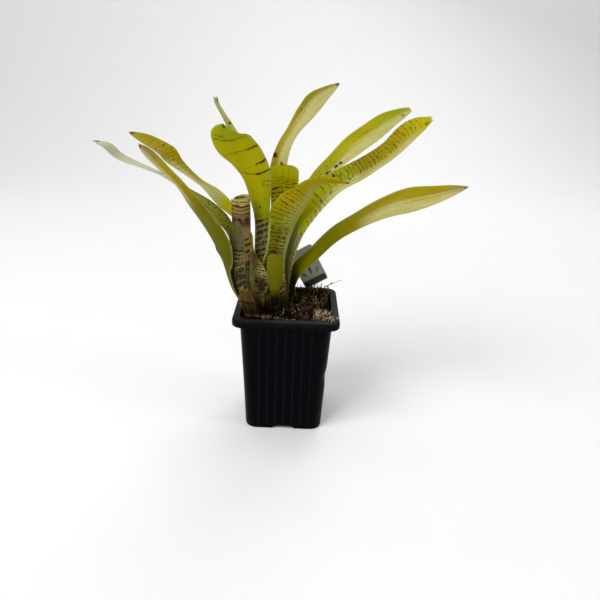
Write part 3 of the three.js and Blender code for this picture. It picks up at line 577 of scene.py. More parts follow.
class Finish:
    """A material being put together."""

    def __init__(self, name):
        self.material = bpy.data.materials.new(name)
        self.material.use_nodes = True
        self.tree = self.material.node_tree
        self.tree.nodes.clear()

    def make(self, kind, settings=None, inputs=None, output=0):
        """Adds a node: its settings first, then a value or a link for each named socket."""
        node = self.tree.nodes.new(kind)
        for key, value in (settings or {}).items():
            setattr(node, key, value)
        for key, value in (inputs or {}).items():
            if isinstance(value, Signal):
                self.tree.links.new(value.socket, node.inputs[key])
            else:
                node.inputs[key].default_value = value
        return Signal(self, node.outputs[output]) if node.outputs else None

    def split(self, vector):
        node = self.make("ShaderNodeSeparateXYZ", None, {0: vector}).socket.node
        return [Signal(self, socket) for socket in node.outputs]

    def join(self, x, y, z):
        return self.make("ShaderNodeCombineXYZ", None, {0: x, 1: y, 2: z})

    def place(self):
        """Position on the object in millimetres, whole and as x, y and z."""
        spot = self.make("ShaderNodeTexCoord", output=3)
        where = self.make("ShaderNodeVectorMath", {"operation": "SCALE"}, {0: spot, "Scale": 1 / MM})
        return where, *self.split(where)

    def sheet(self, layer):
        return self.split(self.make("ShaderNodeUVMap", {"uv_map": layer}))[:2]

    def tint(self):
        return self.make("ShaderNodeAttribute", {"attribute_name": "tint"}, output=2)

    def cloud(self, where, scale=1.0, detail=2.0, rough=0.5):
        sockets = {"Vector": where, "Scale": scale, "Detail": detail, "Roughness": rough}
        return self.make("ShaderNodeTexNoise", None, sockets)

    def coat(self, base, *layers):
        """The base colour under layers of another colour, each with its share."""
        for colour, share in layers:
            sockets = {0: share, 6: base, 7: colour}
            base = self.make("ShaderNodeMix", {"data_type": "RGBA"}, sockets, output=2)
        return base

    def surface(self, base, roughness, height=None, reach=0.1, strength=0.3, **constants):
        """Ends the material in one Principled BSDF. Height, if any, goes through a Bump node."""
        inputs = {"Base Color": base, "Roughness": roughness}
        inputs.update({key.replace("_", " "): value for key, value in constants.items()})
        if height is not None:
            inputs["Normal"] = self.make(
                "ShaderNodeBump", None, {"Height": height, "Distance": reach * MM, "Strength": strength},
            )
        shader = self.make("ShaderNodeBsdfPrincipled", None, inputs)
        self.make("ShaderNodeOutputMaterial", None, {"Surface": shader})
        return self.material


def place_mesh(name, mesh, finish):
    """Object from a closed mesh, smooth, with its faces turned outward."""
    mesh.update()
    shell = bmesh.new()
    shell.from_mesh(mesh)
    bmesh.ops.recalc_face_normals(shell, faces=shell.faces)
    shell.to_mesh(mesh)
    shell.free()
    mesh.polygons.foreach_set("use_smooth", [True] * len(mesh.polygons))
    if finish is not None:
        mesh.materials.append(finish)
    piece = bpy.data.objects.new(name, mesh)
    bpy.context.scene.collection.objects.link(piece)
    return piece


class Form:
    """Points and faces gathered for one mesh object, in millimetres."""

    def __init__(self):
        self.points, self.faces, self.tints = [], [], []

    def add(self, points, faces, tint=0.0):
        start = len(self.points)
        self.points.extend(tuple(p) for p in points)
        self.faces.extend(tuple(start + k for k in face) for face in faces)
        self.tints.extend(tint if isinstance(tint, list) else [tint] * len(points))

    def build(self, name, finish=None):
        mesh = bpy.data.meshes.new(name)
        mesh.from_pydata([(x * MM, y * MM, z * MM) for x, y, z in self.points], [], self.faces)
        mesh.attributes.new("tint", "FLOAT", "POINT").data.foreach_set("value", self.tints)
        return place_mesh(name, mesh, finish)


def set_down(piece, node, slot=None):
    """The piece takes the place of a CAD node, which is hidden, and hangs from the root body."""
    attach(piece, "root")
    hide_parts(node)
    slot or node


def through(values, stations):
    """Smooth curve through a row of numbers, read at stations from 0 to the last one."""
    values = np.asarray(values, float)
    last = len(values) - 1
    stations = np.clip(np.asarray(stations, float), 0, last)
    i = np.minimum(np.floor(stations).astype(int), last - 1)
    t = stations - i
    padded = np.concatenate([[2 * values[0] - values[1]], values, [2 * values[-1] - values[-2]]])
    a, b, c, d = padded[i], padded[i + 1], padded[i + 2], padded[i + 3]
    return b + 0.5 * t * (c - a + t * (2 * a - 5 * b + 4 * c - d + t * (3 * (b - c) + d - a)))


def route(rows, stations):
    return np.stack([through(rows[:, k], stations) for k in range(3)], -1)


def unit(rows):
    return rows / np.linalg.norm(rows, axis=-1, keepdims=True)


def axis_at(axis, z):
    i = 0
    while i < len(axis) - 2 and z > axis[i + 1][2]:
        i += 1
    t = (z - axis[i][2]) / (axis[i + 1][2] - axis[i][2])
    return [axis[i][k] + (axis[i + 1][k] - axis[i][k]) * t for k in (0, 1)]


def leaf_rows(name, leaf, heading):
    """All rows of a leaf as x, y, z, width, roll and wrap."""
    rows = []
    for z, radius, wrap in leaf.get("sheath", ()):
        x, y = axis_at(LEFT_AXIS if name.startswith("left") else CENTRE_AXIS, z)
        reach = radius * cos(radians(wrap) / 2)
        x, y = x + reach * cos(heading), y + reach * sin(heading)
        rows.append((x, y, z, radius * radians(wrap), 0, wrap))
    return np.array(rows + list(leaf.get("blade", ())), float)


def leaf_sheet(name, shape, seed):
    """Point grids of the two faces of a leaf, with its places along and across."""
    leaf, look = LEAVES[name], LOOKS[name]
    heading = radians(leaf["heading"])
    rows = leaf_rows(name, leaf, heading)
    last = len(rows) - 1
    walk = np.linspace(0, last, 60 * last + 1)
    lengths = np.concatenate([[0], np.cumsum(np.linalg.norm(np.diff(route(rows, walk), axis=0), axis=1))])
    total = lengths[-1]
    tip = leaf["tip"]
    blunt = look.get("blunt", leaf.get("blunt", 2))
    along = np.concatenate([
        np.linspace(0, total - tip, max(int((total - tip) / shape.row_step), 12)),
        total - tip + tip * np.sin(np.linspace(0, pi / 2, 12))[1:],
    ])
    s = np.interp(along, lengths, walk)
    at = route(rows, s)
    ahead = unit(route(rows, np.clip(s + 0.05, 0, last)) - route(rows, np.clip(s - 0.05, 0, last)))
    sideways = np.array([-sin(heading), cos(heading), 0])
    level = unit(sideways - ahead * (ahead @ sideways)[:, None])
    inward = np.cross(ahead, level)
    roll = np.radians(through(rows[:, 4], s))[:, None]
    across = level * np.cos(roll) + inward * np.sin(roll)
    face = inward * np.cos(roll) - level * np.sin(roll)
    wrap = np.radians(np.maximum(through(rows[:, 5], s), 8))
    width = np.maximum(through(rows[:, 3], s), 0.8)
    into = np.maximum(0, (along - (total - tip)) / tip)
    keep = np.maximum(np.maximum(1 - into ** blunt, 0) ** (1 / blunt), look.get("open", 0.06))
    radius = width / wrap
    half = wrap / 2

    columns = max(shape.group.columns, int(width.max() / 0.8))
    side = np.sin(np.linspace(-pi / 2, pi / 2, columns + 1) * 0.92) / sin(pi * 0.46)
    angle = side[None] * (half * keep)[:, None]
    points = (
        at[:, None] + across[:, None] * (radius[:, None] * np.sin(angle))[..., None]
        + face[:, None] * (radius[:, None] * (np.cos(half)[:, None] - np.cos(angle)))[..., None]
    )
    normals = face[:, None] * np.cos(angle)[..., None] - across[:, None] * np.sin(angle)[..., None]

    # Gentle waves on the blade, strongest near its margins, none where the leaf hugs its rosette.
    free = np.clip((along - 0.45 * total) / (0.2 * total), 0, 1) if "blade" in leaf else along * 0
    wave = np.sin(along / 5.5 + seed)[:, None] * side[None] + 0.6 * np.sin(along / 9.0 + 2 * seed)[:, None]
    points = points + normals * (wave * np.abs(side) ** 1.5 * free[:, None] * shape.ripple)[..., None]

    # A short point or two prongs at the tip, and a torn or sloping end where the leaf is dry.
    point = 0.6 * np.maximum(0, 1 - np.abs(side) * 1.6) + look.get("fork", 0) * side ** 2
    end = (into ** 4)[:, None] * point
    ragged = np.sin(side * 9 + seed) + 0.6 * np.sin(side * 23 + 2 * seed)
    end = end + (into ** 2)[:, None] * (look.get("torn", 0) * ragged + look.get("skew", 0) * side)
    points = points + ahead[:, None] * end[..., None]

    thick = shape.midrib + (shape.margin - shape.midrib) * side ** 2
    thick = thick * np.sqrt(np.maximum(1 - np.abs(side) ** 14, 0.04)) * (1 - 0.55 * into ** 3)[:, None]
    shift = normals * (thick / 2)[..., None]
    return points + shift, points - shift, along, side, side[None] * (width * keep / 2)[:, None]


def leaf_piece(name, shape, finish, seed):
    inner, outer, along, side, across = leaf_sheet(name, shape, seed)
    rows, columns = inner.shape[:2]
    shift = rows * columns
    index = np.arange(shift).reshape(rows, columns)
    a, b, c, d = index[:-1, :-1], index[:-1, 1:], index[1:, 1:], index[1:, :-1]
    faces = [np.stack([a, b, c, d], -1).reshape(-1, 4), np.stack([a, d, c, b], -1).reshape(-1, 4) + shift]
    for run in (index[::-1, 0], index[:, -1], index[0, :], index[-1, ::-1]):
        one, two = run[:-1], run[1:]
        faces.append(np.stack([one + shift, two + shift, two, one], -1))
    mesh = bpy.data.meshes.new(name)
    points = np.concatenate([inner.reshape(-1, 3), outer.reshape(-1, 3)]) * MM
    mesh.from_pydata(points.tolist(), [], np.concatenate(faces).tolist())
    corners = np.empty(len(mesh.loops), int)
    mesh.loops.foreach_get("vertex_index", corners)
    lengthwise = np.repeat(along, columns)
    for layer, x, y in (
        ("Leaf", np.tile(side, rows) / 2 + 0.5, lengthwise / along[-1]),
        ("Size", across.reshape(-1) / 100, lengthwise / 100),
    ):
        both = np.tile(np.stack([x, y], -1), (2, 1))
        mesh.uv_layers.new(name=layer).data.foreach_set("uv", both[corners].reshape(-1))
    set_down(place_mesh(name + ("_fine" if "leaf" in name else "_leaf"), mesh, finish), name)


def strongest(masks):
    return functools.reduce(Signal.most, masks)


def ring_mark(f, u, along, wander, seed, ring):
    """One curved line across a leaf, of uneven thickness."""
    at, tilt, sag, low, high, thick, strength = ring
    line = along - u * tilt - u * u * sag + wander * 2.2 - at
    blot = f.cloud(f.join(u * 3.4, along * 0.15, seed + at), 1.6, 3)
    band = thick * (0.35 + blot * 1.1)
    mark = abs(line).rise(band * 0.62, band * 0.2) * u.within(low, high, 0.05)
    return mark * (blot.rise(0.28, 0.46) * 0.9 + 0.1) * strength


def dash_mark(f, u, across, along, wander, seed, dashes):
    """Rows of broken short lines on one part of a leaf."""
    low, high, pitch, thick, cover, left, right, slant = dashes
    bend = f.cloud(f.join(u * 1.1, along * 0.2, seed + low + 31), 1, 2) - 0.5
    run = (along + wander * 2.2 + bend * pitch * 1.4 - u * slant + u * u * 0.8) / pitch
    row = run.floor()
    patch = f.cloud(f.join(across * 0.13, along * 0.07, seed + low), 1, 2) - 0.5
    gate = f.cloud(f.join(u * 3.4, row * 3.71, seed + low), 1.35, 3, 0.6) + patch * 0.55
    broad = f.cloud(f.join(u * 5.1, row * 1.93, seed + high), 1.2, 1)
    mark = (abs(run.fraction() - 0.5) * pitch - broad * thick * 0.9).rise(0.2, -0.12)
    mark = mark * gate.rise(1 - cover - 0.07, 1 - cover + 0.05)
    mark = mark * u.within(left, right, 0.08) * along.within(low, high, 3)
    return mark * (0.45 + broad * 0.9)


def dot_mark(u, across, along, wander, fleck, dot):
    """One round spot with an uneven rim."""
    at, beside, radius, strength = dot
    aside = (u - beside) * (across / (u + 1e-3)) + wander * 2.2
    ahead = along - at + wander * 1.6 + fleck * 0.8
    return (aside * aside + ahead * ahead).root().rise(radius * 1.2, radius * 0.6) * strength


def leaf_finish(name, look, colours, seed):
    f = Finish(name)
    u = f.sheet("Leaf")[0] * 2 - 1
    across, along = [value * 100 for value in f.sheet("Size")]
    wander = f.cloud(f.join(across * 0.25, along * 0.25, seed), 1, 2) - 0.5
    drift = f.cloud(f.join(across * 0.09, along * 0.035, seed + 5), 1, 3)
    streak = f.cloud(f.join(across * 0.55, along * 0.03, seed + 17), 1, 2)
    veins = f.cloud(f.join(across * 2.4, along * 0.045, seed), 1, 3, 0.6)
    fleck = f.cloud(f.join(across * 1.3, along * 1.3, seed + 9), 1, 3, 0.6)

    tones = ((0, "husk_and_shade"),) + look["tones"]
    base = colours.husk_and_shade
    for (low, before), (high, after) in zip(tones, tones[1:]):
        if after != before:
            base = f.coat(base, (getattr(colours, after), (along + wander * 9).rise(low, high)))
    # Painted sheen: the half of the blade that faces the light is painted paler.
    if "pale" in look:
        low, high, start, way, strength, colour = look["pale"]
        half = (u + (streak - 0.5) * 0.9 + wander * 0.25).rise(start - 0.3 * way, start + 0.42 * way)
        zone = along.within(low, high, 9) * half * (0.35 + drift * 1.1) * strength
        base = f.coat(base, (getattr(colours, colour), zone * (0.2 + veins * 1.4)))
    base = f.coat(
        base,
        (colours.deep, (drift * 0.6 + streak * 0.4).rise(0.5, 0.75) * 0.4),
        (colours.gold, streak.rise(0.5, 0.75) * along.rise(40, 80) * 0.3),
        (getattr(colours, look.get("vein", "bright")), veins.rise(0.5, 0.8) * 0.3),
    )
    if "feather" in look:
        low, high, left, right, strength = look["feather"]
        barbs = f.cloud(f.join(across * 0.5, (along + abs(across) * 1.2) * 1.9, seed + 3), 1, 3, 0.6)
        zone = along.within(low, high, 6) * u.within(left, right, 0.15) * strength
        base = f.coat(
            base,
            (colours.cream, barbs.rise(0.5, 0.7) * zone * 0.6),
            (colours.olive, barbs.rise(0.47, 0.3) * zone * 0.75),
            (colours.rust, (streak * 0.5 + veins * 0.5).rise(0.56, 0.7) * zone * 0.3),
        )
    colour, wide, low, high = look.get("edge", ("pale", 0.0, 24, 400))
    rim = (abs(u) + wander * 0.2).rise(0.82 - wide, 0.99 - wide) * along.within(low, high, 6)
    base = f.coat(base, (getattr(colours, colour), rim * (0.75 if "edge" in look else 0.35)))

    lines = [ring_mark(f, u, along, wander, seed, ring) for ring in look.get("rings", ())]
    marks = [
        dash_mark(f, u, across, along, wander, seed, dashes) * look.get("fade", 0.92)
        for dashes in look.get("dashes", ())
    ]
    marks += [dot_mark(u, across, along, wander, fleck, dot) for dot in look.get("dots", ())]
    relief = veins * 0.7 + fleck * 0.25
    if marks:
        spots = strongest(marks) * (0.7 + fleck * 0.5)
        ink = f.coat(getattr(colours, look.get("ink", "mark")), (colours.mark, fleck.rise(0.35, 0.6)))
        base = f.coat(base, (ink, spots))
        relief = relief - spots * 0.25
    if lines:
        rings = strongest(lines)
        ink = f.coat(getattr(colours, look.get("ring_ink", "mark")), (colours.mark, fleck.rise(0.5, 0.8)))
        base = f.coat(base, (ink, rings))
        relief = relief - rings * 0.2
    # Dead husk and painted shade: every leaf darkens near its foot, where it meets the mix.
    low = look.get("foot", 12)
    base = f.coat(base, (colours.husk_and_shade, (along + wander * 8 + fleck * 4).rise(low + 5, low - 3) * 0.9))
    return f.surface(base, 0.42 + fleck * 0.16 + drift * 0.1, relief, 0.18, 0.4, Specular_IOR_Level=0.06)


FLUTE_HALF = 0.85
CORNER_STEPS = 12
# The inside of the pot under its rim, and how far the moss may hang over the rim
WALL_INSIDE, WALL_CORNER = 29.35, 7.6
RIM_TOP, RIM_EDGE = 84.15, 34.9
MOSS_REACH, MOSS_LOW, MOSS_BED = 35.6, 79.6, 80.2


def square_outline(half, corner, groove, pitch, grooves=7):
    """Rounded square as x, y points, anticlockwise. Each side may carry shallow grooves."""
    ridges = [(k - (grooves - 1) / 2) * pitch for k in range(grooves)]
    limit = half - corner
    along = [-limit]
    for middle in ridges:
        along.extend(middle + shift * FLUTE_HALF for shift in (-1, -0.75, -0.5, -0.2, 0.2, 0.5, 0.75, 1))
    along.append(limit)
    points = []
    for side in range(4):
        turn = side * pi / 2
        spots = []
        for s in along:
            s = max(-limit, min(limit, s))
            near = min(abs(s - middle) for middle in ridges)
            spots.append((half - groove * 0.5 * (1 + cos(pi * min(near / FLUTE_HALF, 1))), s))
        for step in range(1, CORNER_STEPS):
            angle = step * pi / 2 / CORNER_STEPS
            spots.append((limit + corner * cos(angle), limit + corner * sin(angle)))
        points.extend((x * cos(turn) - y * sin(turn), x * sin(turn) + y * cos(turn)) for x, y in spots)
    return points


def grid_faces(rows, columns):
    return [
        (r * columns + k, r * columns + k + 1, (r + 1) * columns + k + 1, (r + 1) * columns + k)
        for r in range(rows - 1) for k in range(columns - 1)
    ]


def ring_faces(rings, count):
    """Faces between rings of points, with a lid at both ends."""
    faces = [
        (r * count + k, r * count + (k + 1) % count, (r + 1) * count + (k + 1) % count, (r + 1) * count + k)
        for r in range(rings - 1) for k in range(count)
    ]
    return faces + [tuple(range(count))[::-1], tuple((rings - 1) * count + k for k in range(count))]


def pot_body(pot):
    """Points, faces and groove depths of the pot, ring by ring: outside, lip, inside and floor. The groove
    depths later place a painted highlight in the flutes.
    """
    top, base, rim, corner = pot.body_top / 2, pot.body_base / 2, pot.rim / 2, pot.rim_corner
    height, edge, wall, low = pot.height, pot.lip_wall, pot.wall, pot.height - pot.lip
    under = height - edge

    def ring(z, inset=0.0, groove=0.0):
        t = z / height
        half = base + (top - base) * t - inset
        return z, half, pot.corner_base + (pot.corner_top - pot.corner_base) * t - inset, groove

    rings = [ring(z, inset) for inset, z in ((1.5, 0.0), (0.7, 0.05), (0.25, 0.3), (0.05, 0.7), (0, 1.2))]
    for k in range(61):
        z = 1.8 + (under - 1.8) * k / 60
        fade = min(1, max(0, (z - 2.4) / 1.6)) * min(1, max(0, (under - 1.2 - z) / 3))
        rings.append(ring(z, 0, pot.flute_depth * fade))
    # The lip: height, how far in from the rim, and how far in at the corners.
    rings += [(z, rim - inset, corner - at_corner, 0) for z, inset, at_corner in (
        (under, edge + 1.2, edge + 1.2), (under - 0.35, edge + 0.3, edge + 0.3), (under - 1, edge, edge),
        (low + 0.15, edge, edge), (low, edge - 0.2, edge - 0.2), (low, 0.2, 0.2), (low + 0.2, 0.03, 0.03),
        (low + 1.2, 0, 0), (low + 2.6, 0.02, 0), (height - 1.6, 0.1, 0.1), (height - 0.9, 0.28, 0.28),
        (height - 0.42, 0.62, 0.6), (height - 0.14, 1.1, 1), (height - 0.02, 1.7, 1.4),
        (height - 0.06, 2.9, 1.7),
    )]
    for drop, z in ((0, height), (0.25, height - 0.25), (0.55, height - 0.9)):
        rings.append((z - 0.12, top - wall + 0.55 - drop, 7.9 - drop, 0))
    for k in range(1, 13):
        rings.append(ring(height - 0.9 + (pot.floor - height + 0.9) * k / 12, wall))
    rings.append(ring(pot.floor, wall + 2))
    points, paler = [], []
    for z, half, corner, groove in rings:
        plain = square_outline(half, corner, 0, pot.flute_pitch)
        for (x, y), (wide, deep) in zip(square_outline(half, corner, groove, pot.flute_pitch), plain):
            points.append((x, y, z))
            paler.append(hypot(wide - x, deep - y) / pot.flute_depth)
    return points, ring_faces(len(rings), len(points) // len(rings)), paler


# The dent in the pot: where its middle is and how far it spreads, along x, y and z
DENT = ((30, 30), (-22, 60), (40, 22))


def hand_marks(points, height):
    """A shallow dent beside the front right corner, and a rim and sides that are not quite straight."""
    moved = []
    for x, y, z in points:
        dent = exp(-sum((at - middle) ** 2 / spread for at, (middle, spread) in zip((x, y, z), DENT)))
        x -= 0.8 * dent
        y += 0.45 * dent
        soft = 0.3 * sin(pi * min(max(z, 0), height) / height)
        x -= soft * cos(y / 22) * (1 if x > 0 else -1) * (abs(x) > 20)
        y -= soft * cos(x / 22) * (1 if y > 0 else -1) * (abs(y) > 20)
        high = max(0, (z - height + 8) / 8)
        z += 0.28 * high * sin(x / 11 + 1) * (y < 0) * min(1, max(0, -y - 20) / 12)
        moved.append((x, y, z))
    return moved


def blunted(value, exponent):
    """A number from -1 to 1 raised to a power, with its sign kept."""
    return math.copysign(abs(value) ** exponent, value)


def cut_away(piece, cutters):
    for cutter in cutters:
        cut = piece.modifiers.new("Cut", "BOOLEAN")
        cut.operation, cut.solver, cut.object = "DIFFERENCE", "EXACT", cutter
    bpy.context.view_layer.update()
    seen = piece.evaluated_get(bpy.context.evaluated_depsgraph_get())
    mesh = bpy.data.meshes.new_from_object(seen)
    piece.modifiers.clear()
    piece.data = mesh
    for cutter in cutters:
        bpy.data.objects.remove(cutter)


def cutter_bar(outline, low, high, place):
    """Closed bar with an x, z outline that runs along y, put in place by a matrix."""
    form = Form()
    points = [place @ Vector((x, y, z)) for y in (low, high) for x, z in outline]
    form.add(points, ring_faces(2, len(outline)))
    return form.build("pot_cutter")


def plastic_finish(shape):
    f = Finish("pot_plastic")
    where, x, y, z = f.place()
    fine = f.cloud(where, 2.6, 4, 0.65)
    broad = f.cloud(where, 0.055, 3)
    smear = f.cloud(f.join(x * 0.12, y * 0.12, z * 0.9), 1, 3, 0.6)
    scuff = f.cloud(f.join(x * 1.3, y * 1.3, z * 0.14), 1, 3, 0.6)
    # Dust and dried water in streaks, at the foot and in scuffs; the lip and the rim top, most on the
    # right, are lightened as dust and as painted sheen.
    rim_sheen_and_dust = (smear.rise(0.5, 0.85) * 0.03 + z.rise(9, 1) * fine.rise(0.42, 0.75) * 0.1
             + z.rise(79, 84) * (0.1 + broad.rise(0.35, 0.8) * 0.1) + scuff.rise(0.62, 0.8) * 0.03
             + z.rise(83.3, 83.9) * (0.15 + broad * 0.4 + x.rise(20, 32) * 0.35))
    # Painted highlight: the deeper parts of the flutes turn blue grey, as if they catch the light.
    paler = f.tint().rise(0.45, 0.95)
    base = f.coat(
        shape.plastic, (shape.dust_and_sheen, rim_sheen_and_dust), (shape.groove_glint, paler * (0.15 + broad * 0.5 + scuff * 0.3)),
    )
    rough = 0.24 + broad * 0.14 + fine * 0.06 + rim_sheen_and_dust * 0.5
    return f.surface(base, rough, fine * 0.3 + scuff * 0.4, 0.06, 0.3, Specular_IOR_Level=0.035)


class PLANT_OT_pot(bpy.types.Operator):
    """Black square nursery pot with a lip, fluted walls, foot slots and drain holes"""

    bl_idname = "plant.pot"
    bl_label = "Pot"

    def execute(self, context):
        shape = context.scene.bromeliad.pot
        pot = InMillimetres(shape)
        points, faces, paler = pot_body(pot)
        form = Form()
        form.add(hand_marks(points, pot.height), faces, paler)
        piece = form.build("nursery_pot", plastic_finish(shape))
        half, reach = pot.slot_width / 2, pot.body_base / 2
        arch = [
            (half * blunted(cos(a), 0.8), pot.slot_height * sin(a) ** 0.7)
            for a in np.linspace(0, pi, 25)[1:-1].tolist()
        ]
        arch = [(half, -1), (half, 0)] + arch + [(-half, 0), (-half, -1)]
        cutters = [
            cutter_bar(arch, reach - 4, reach + 2, Matrix.Rotation(side * pi / 2, 4, "Z"))
            for side in range(4)
        ]
        drain = [
            (pot.drain_radius * cos(a), pot.drain_radius * sin(a))
            for a in np.linspace(0, 2 * pi, 33)[:-1].tolist()
        ]
        for x, y in ((1, 1), (-1, 1), (-1, -1), (1, -1)):
            place = Matrix.Translation((x * pot.drain_offset, y * pot.drain_offset, 0))
            cutters.append(cutter_bar(drain, -4, 4, place @ Matrix.Rotation(pi / 2, 4, "X")))
        cut_away(piece, cutters)
        piece.data.polygons.foreach_set("use_smooth", [True] * len(piece.data.polygons))
        piece.data.set_sharp_from_angle(angle=radians(40))
        set_down(piece, "pot")
        return {"FINISHED"}


def noise_at(x, y, z, scale, seed=0.0):
    return noise.noise(Vector((x * scale + seed, y * scale - seed, z * scale + 2 * seed)))


# Heaps and hollows of the mix: height, x, y, and how far each spreads along x and y
HEAPS = ((6.8, 18, 16, 130, 120), (1.6, -24, -14, 60, 90), (-1.5, 4, -17, 120, 60), (-2.6, 10, -6, 26, 26))


def ground_height(x, y, level):
    """Level of the mix at a place."""
    heaps = sum(high * exp(-((x - cx) ** 2 / wx + (y - cy) ** 2 / wy)) for high, cx, cy, wx, wy in HEAPS)
    rough = 1.3 * noise_at(x, y, 0, 0.22) + 0.8 * noise_at(x, y, 3, 0.6) + 0.35 * noise_at(x, y, 7, 1.7)
    edge = min(1, max(0, (29.4 - max(abs(x), abs(y))) / 3))
    return level + heaps * (0.4 + 0.6 * edge) + rough * (0.5 + 0.5 * edge)


def rounded_square(a, b, half, corner):
    """Place in a rounded square for a place in the square from -1 to 1."""
    most = max(abs(a), abs(b))
    if most < 1e-6:
        return 0.0, 0.0
    x, y = a / most * half, b / most * half
    limit = half - corner
    if abs(x) > limit and abs(y) > limit:
        middle_x, middle_y = math.copysign(limit, x), math.copysign(limit, y)
        share = corner / hypot(x - middle_x, y - middle_y)
        x = middle_x + (x - middle_x) * share
        y = middle_y + (y - middle_y) * share
    return x * most, y * most


def inside_rim(x, y, room):
    """Whether a place on the mix keeps some room to the wall of the pot."""
    half, corner = 29.6 - room, 8
    across, beside = abs(x) - half + corner, abs(y) - half + corner
    if max(across, beside) > corner:
        return False
    return min(across, beside) <= 0 or hypot(across, beside) <= corner


def mix_finish(shape):
    f = Finish("mix_crumbs")
    where, x, y, z = f.place()
    tint = f.tint()
    fine = f.cloud(where, 1.9, 5, 0.7)
    mid = f.cloud(where, 0.45, 4, 0.6)
    brown = (x + y * 0.25 + mid * 16).rise(12, 34)
    base = f.coat(
        shape.peat,
        (shape.bark, (mid.rise(0.5, 0.75) * 0.15 + brown * 0.4) * fine * 1.4),
        (shape.bark, tint.rise(0.1, 0.4) * 0.9),
        (shape.fibre, tint.rise(0.45, 0.7) * (0.6 + fine * 0.5)),
        (shape.pale, tint.rise(0.78, 0.98) * (0.6 + fine * 0.6)),
        (shape.peat, fine.rise(0.5, 0.28) * 0.6),
    )
    return f.surface(base, 0.78 + fine * 0.3, fine + mid, 0.5, 0.7, Specular_IOR_Level=0.08)


GOLD = (1 + 5 ** 0.5) / 2
LUMP_POINTS = [
    Vector(p).normalized() for p in (
        (-1, GOLD, 0), (1, GOLD, 0), (-1, -GOLD, 0), (1, -GOLD, 0), (0, -1, GOLD), (0, 1, GOLD),
        (0, -1, -GOLD), (0, 1, -GOLD), (GOLD, 0, -1), (GOLD, 0, 1), (-GOLD, 0, -1), (-GOLD, 0, 1),
    )
]
LUMP_FACES = (
    (0, 11, 5), (0, 5, 1), (0, 1, 7), (0, 7, 10), (0, 10, 11), (1, 5, 9), (5, 11, 4), (11, 10, 2),
    (10, 7, 6), (7, 1, 8), (3, 9, 4), (3, 4, 2), (3, 2, 6), (3, 6, 8), (3, 8, 9), (4, 9, 5),
    (2, 4, 11), (6, 2, 10), (8, 6, 7), (9, 8, 1),
)


def crumb(form, rng, place, wide, tint):
    """One irregular lump of mix."""
    turn = Matrix.Rotation(rng.uniform(0, 6.28), 3, "Z") @ Matrix.Rotation(rng.uniform(0, 3.14), 3, "X")
    scale = [wide * rng.uniform(*span) for span in ((0.6, 1.3), (0.5, 1.0), (0.35, 0.8))]
    points = []
    for p in LUMP_POINTS:
        q = Vector([c * s * rng.uniform(0.75, 1.15) for c, s in zip(p, scale)])
        points.append(turn @ q + Vector(place))
    form.add(points, LUMP_FACES, tint)


def tube(form, path, radii, sides=6, tint=0.0):
    """Closed round strand along points, with a radius at each of them."""
    path = np.asarray(path, float)
    ahead = unit(np.gradient(path, axis=0))
    helper = np.array([0.0, 0.0, 1.0]) if abs(ahead[0][2]) < 0.8 else np.array([1.0, 0.0, 0.0])
    points = []
    for at, forward, radius in zip(path, ahead, radii):
        one = np.cross(forward, helper)
        one /= np.linalg.norm(one) + 1e-9
        two = np.cross(forward, one)
        helper = np.cross(one, forward)
        for k in range(sides):
            angle = 2 * pi * k / sides
            points.append(at + radius * (cos(angle) * one + sin(angle) * two))
    form.add(points, ring_faces(len(path), sides), tint)


def wander_from(rng, start, length, lift, curl, steps=8):
    """Points of a thin strand that wanders from its start."""
    heading = rng.uniform(0, 2 * pi)
    at = Vector(start)
    path = [tuple(at)]
    for _ in range(steps):
        heading += rng.uniform(-curl, curl)
        lift += rng.uniform(-curl, curl) * 0.45
        ahead = Vector((cos(heading) * cos(lift), sin(heading) * cos(lift), sin(lift)))
        at = at + ahead * (length / steps)
        path.append(tuple(at))
    return path


def fibre(form, path, radius, tint):
    """A fibre along a path, thinner towards both ends."""
    last = len(path)
    swell = [0.55 + 0.45 * sin(pi * (k + 0.8) / (last + 0.6)) for k in range(last)]
    tube(form, path, [radius * share for share in swell], 5, tint)


def mix_block(form, settings, cells=130):
    """The mix as one closed solid: an uneven top and sides that follow the pot."""
    level, pot = settings.mix.top / MM, InMillimetres(settings.pot)
    points = []
    for j in range(cells + 1):
        for i in range(cells + 1):
            x, y = rounded_square(2 * i / cells - 1, 2 * j / cells - 1, WALL_INSIDE, WALL_CORNER)
            points.append((x, y, ground_height(x, y, level)))
    faces = grid_faces(cells + 1, cells + 1)
    border = [(i, 0) for i in range(cells)] + [(cells, j) for j in range(cells)]
    border += [(cells - i, cells) for i in range(cells)] + [(0, cells - j) for j in range(cells)]
    last = [j * (cells + 1) + i for i, j in border]
    # Rings down the inside of the pot, the last one just over its floor.
    for z in (72, 50, 28, 10, 2.2):
        share = z / pot.height
        half = (pot.body_base + (pot.body_top - pot.body_base) * share) / 2 - 1.75
        corner = pot.corner_base + (pot.corner_top - pot.corner_base) * share - 1
        ring = list(range(len(points), len(points) + len(border)))
        for i, j in border:
            points.append((*rounded_square(2 * i / cells - 1, 2 * j / cells - 1, half, corner), z))
        faces += zip(last, ring, ring[1:] + ring[:1], last[1:] + last[:1])
        last = ring
    form.add(points, faces + [tuple(last)])


def scatter(count, draw, room):
    """Drawn places, until count of them lie on the mix."""
    while count:
        x, y = draw()
        if inside_rim(x, y, room):
            count -= 1
            yield x, y


def strew_crumbs(form, rng, count, level):
    """Loose crumbs, coarse and brown on the right, fine and dark on the left."""
    for x, y in scatter(count, lambda: (rng.uniform(-29, 29), rng.uniform(-29, 29)), 1.4):
        coarse = x + rng.gauss(0, 7) > 6
        wide = rng.uniform(0.35, 0.95) * (1.25 if coarse else 1) * (1.5 if rng.random() < 0.12 else 1)
        tint = rng.choice((0, 0, 0.12, 0.3, 0.45) if coarse else (0, 0, 0, 0.1, 0.22))
        if rng.random() < (0.05 if coarse else 0.025):
            tint = rng.uniform(0.6, 0.85)
        crumb(form, rng, (x, y, ground_height(x, y, level) + wide * 0.15), wide, tint)


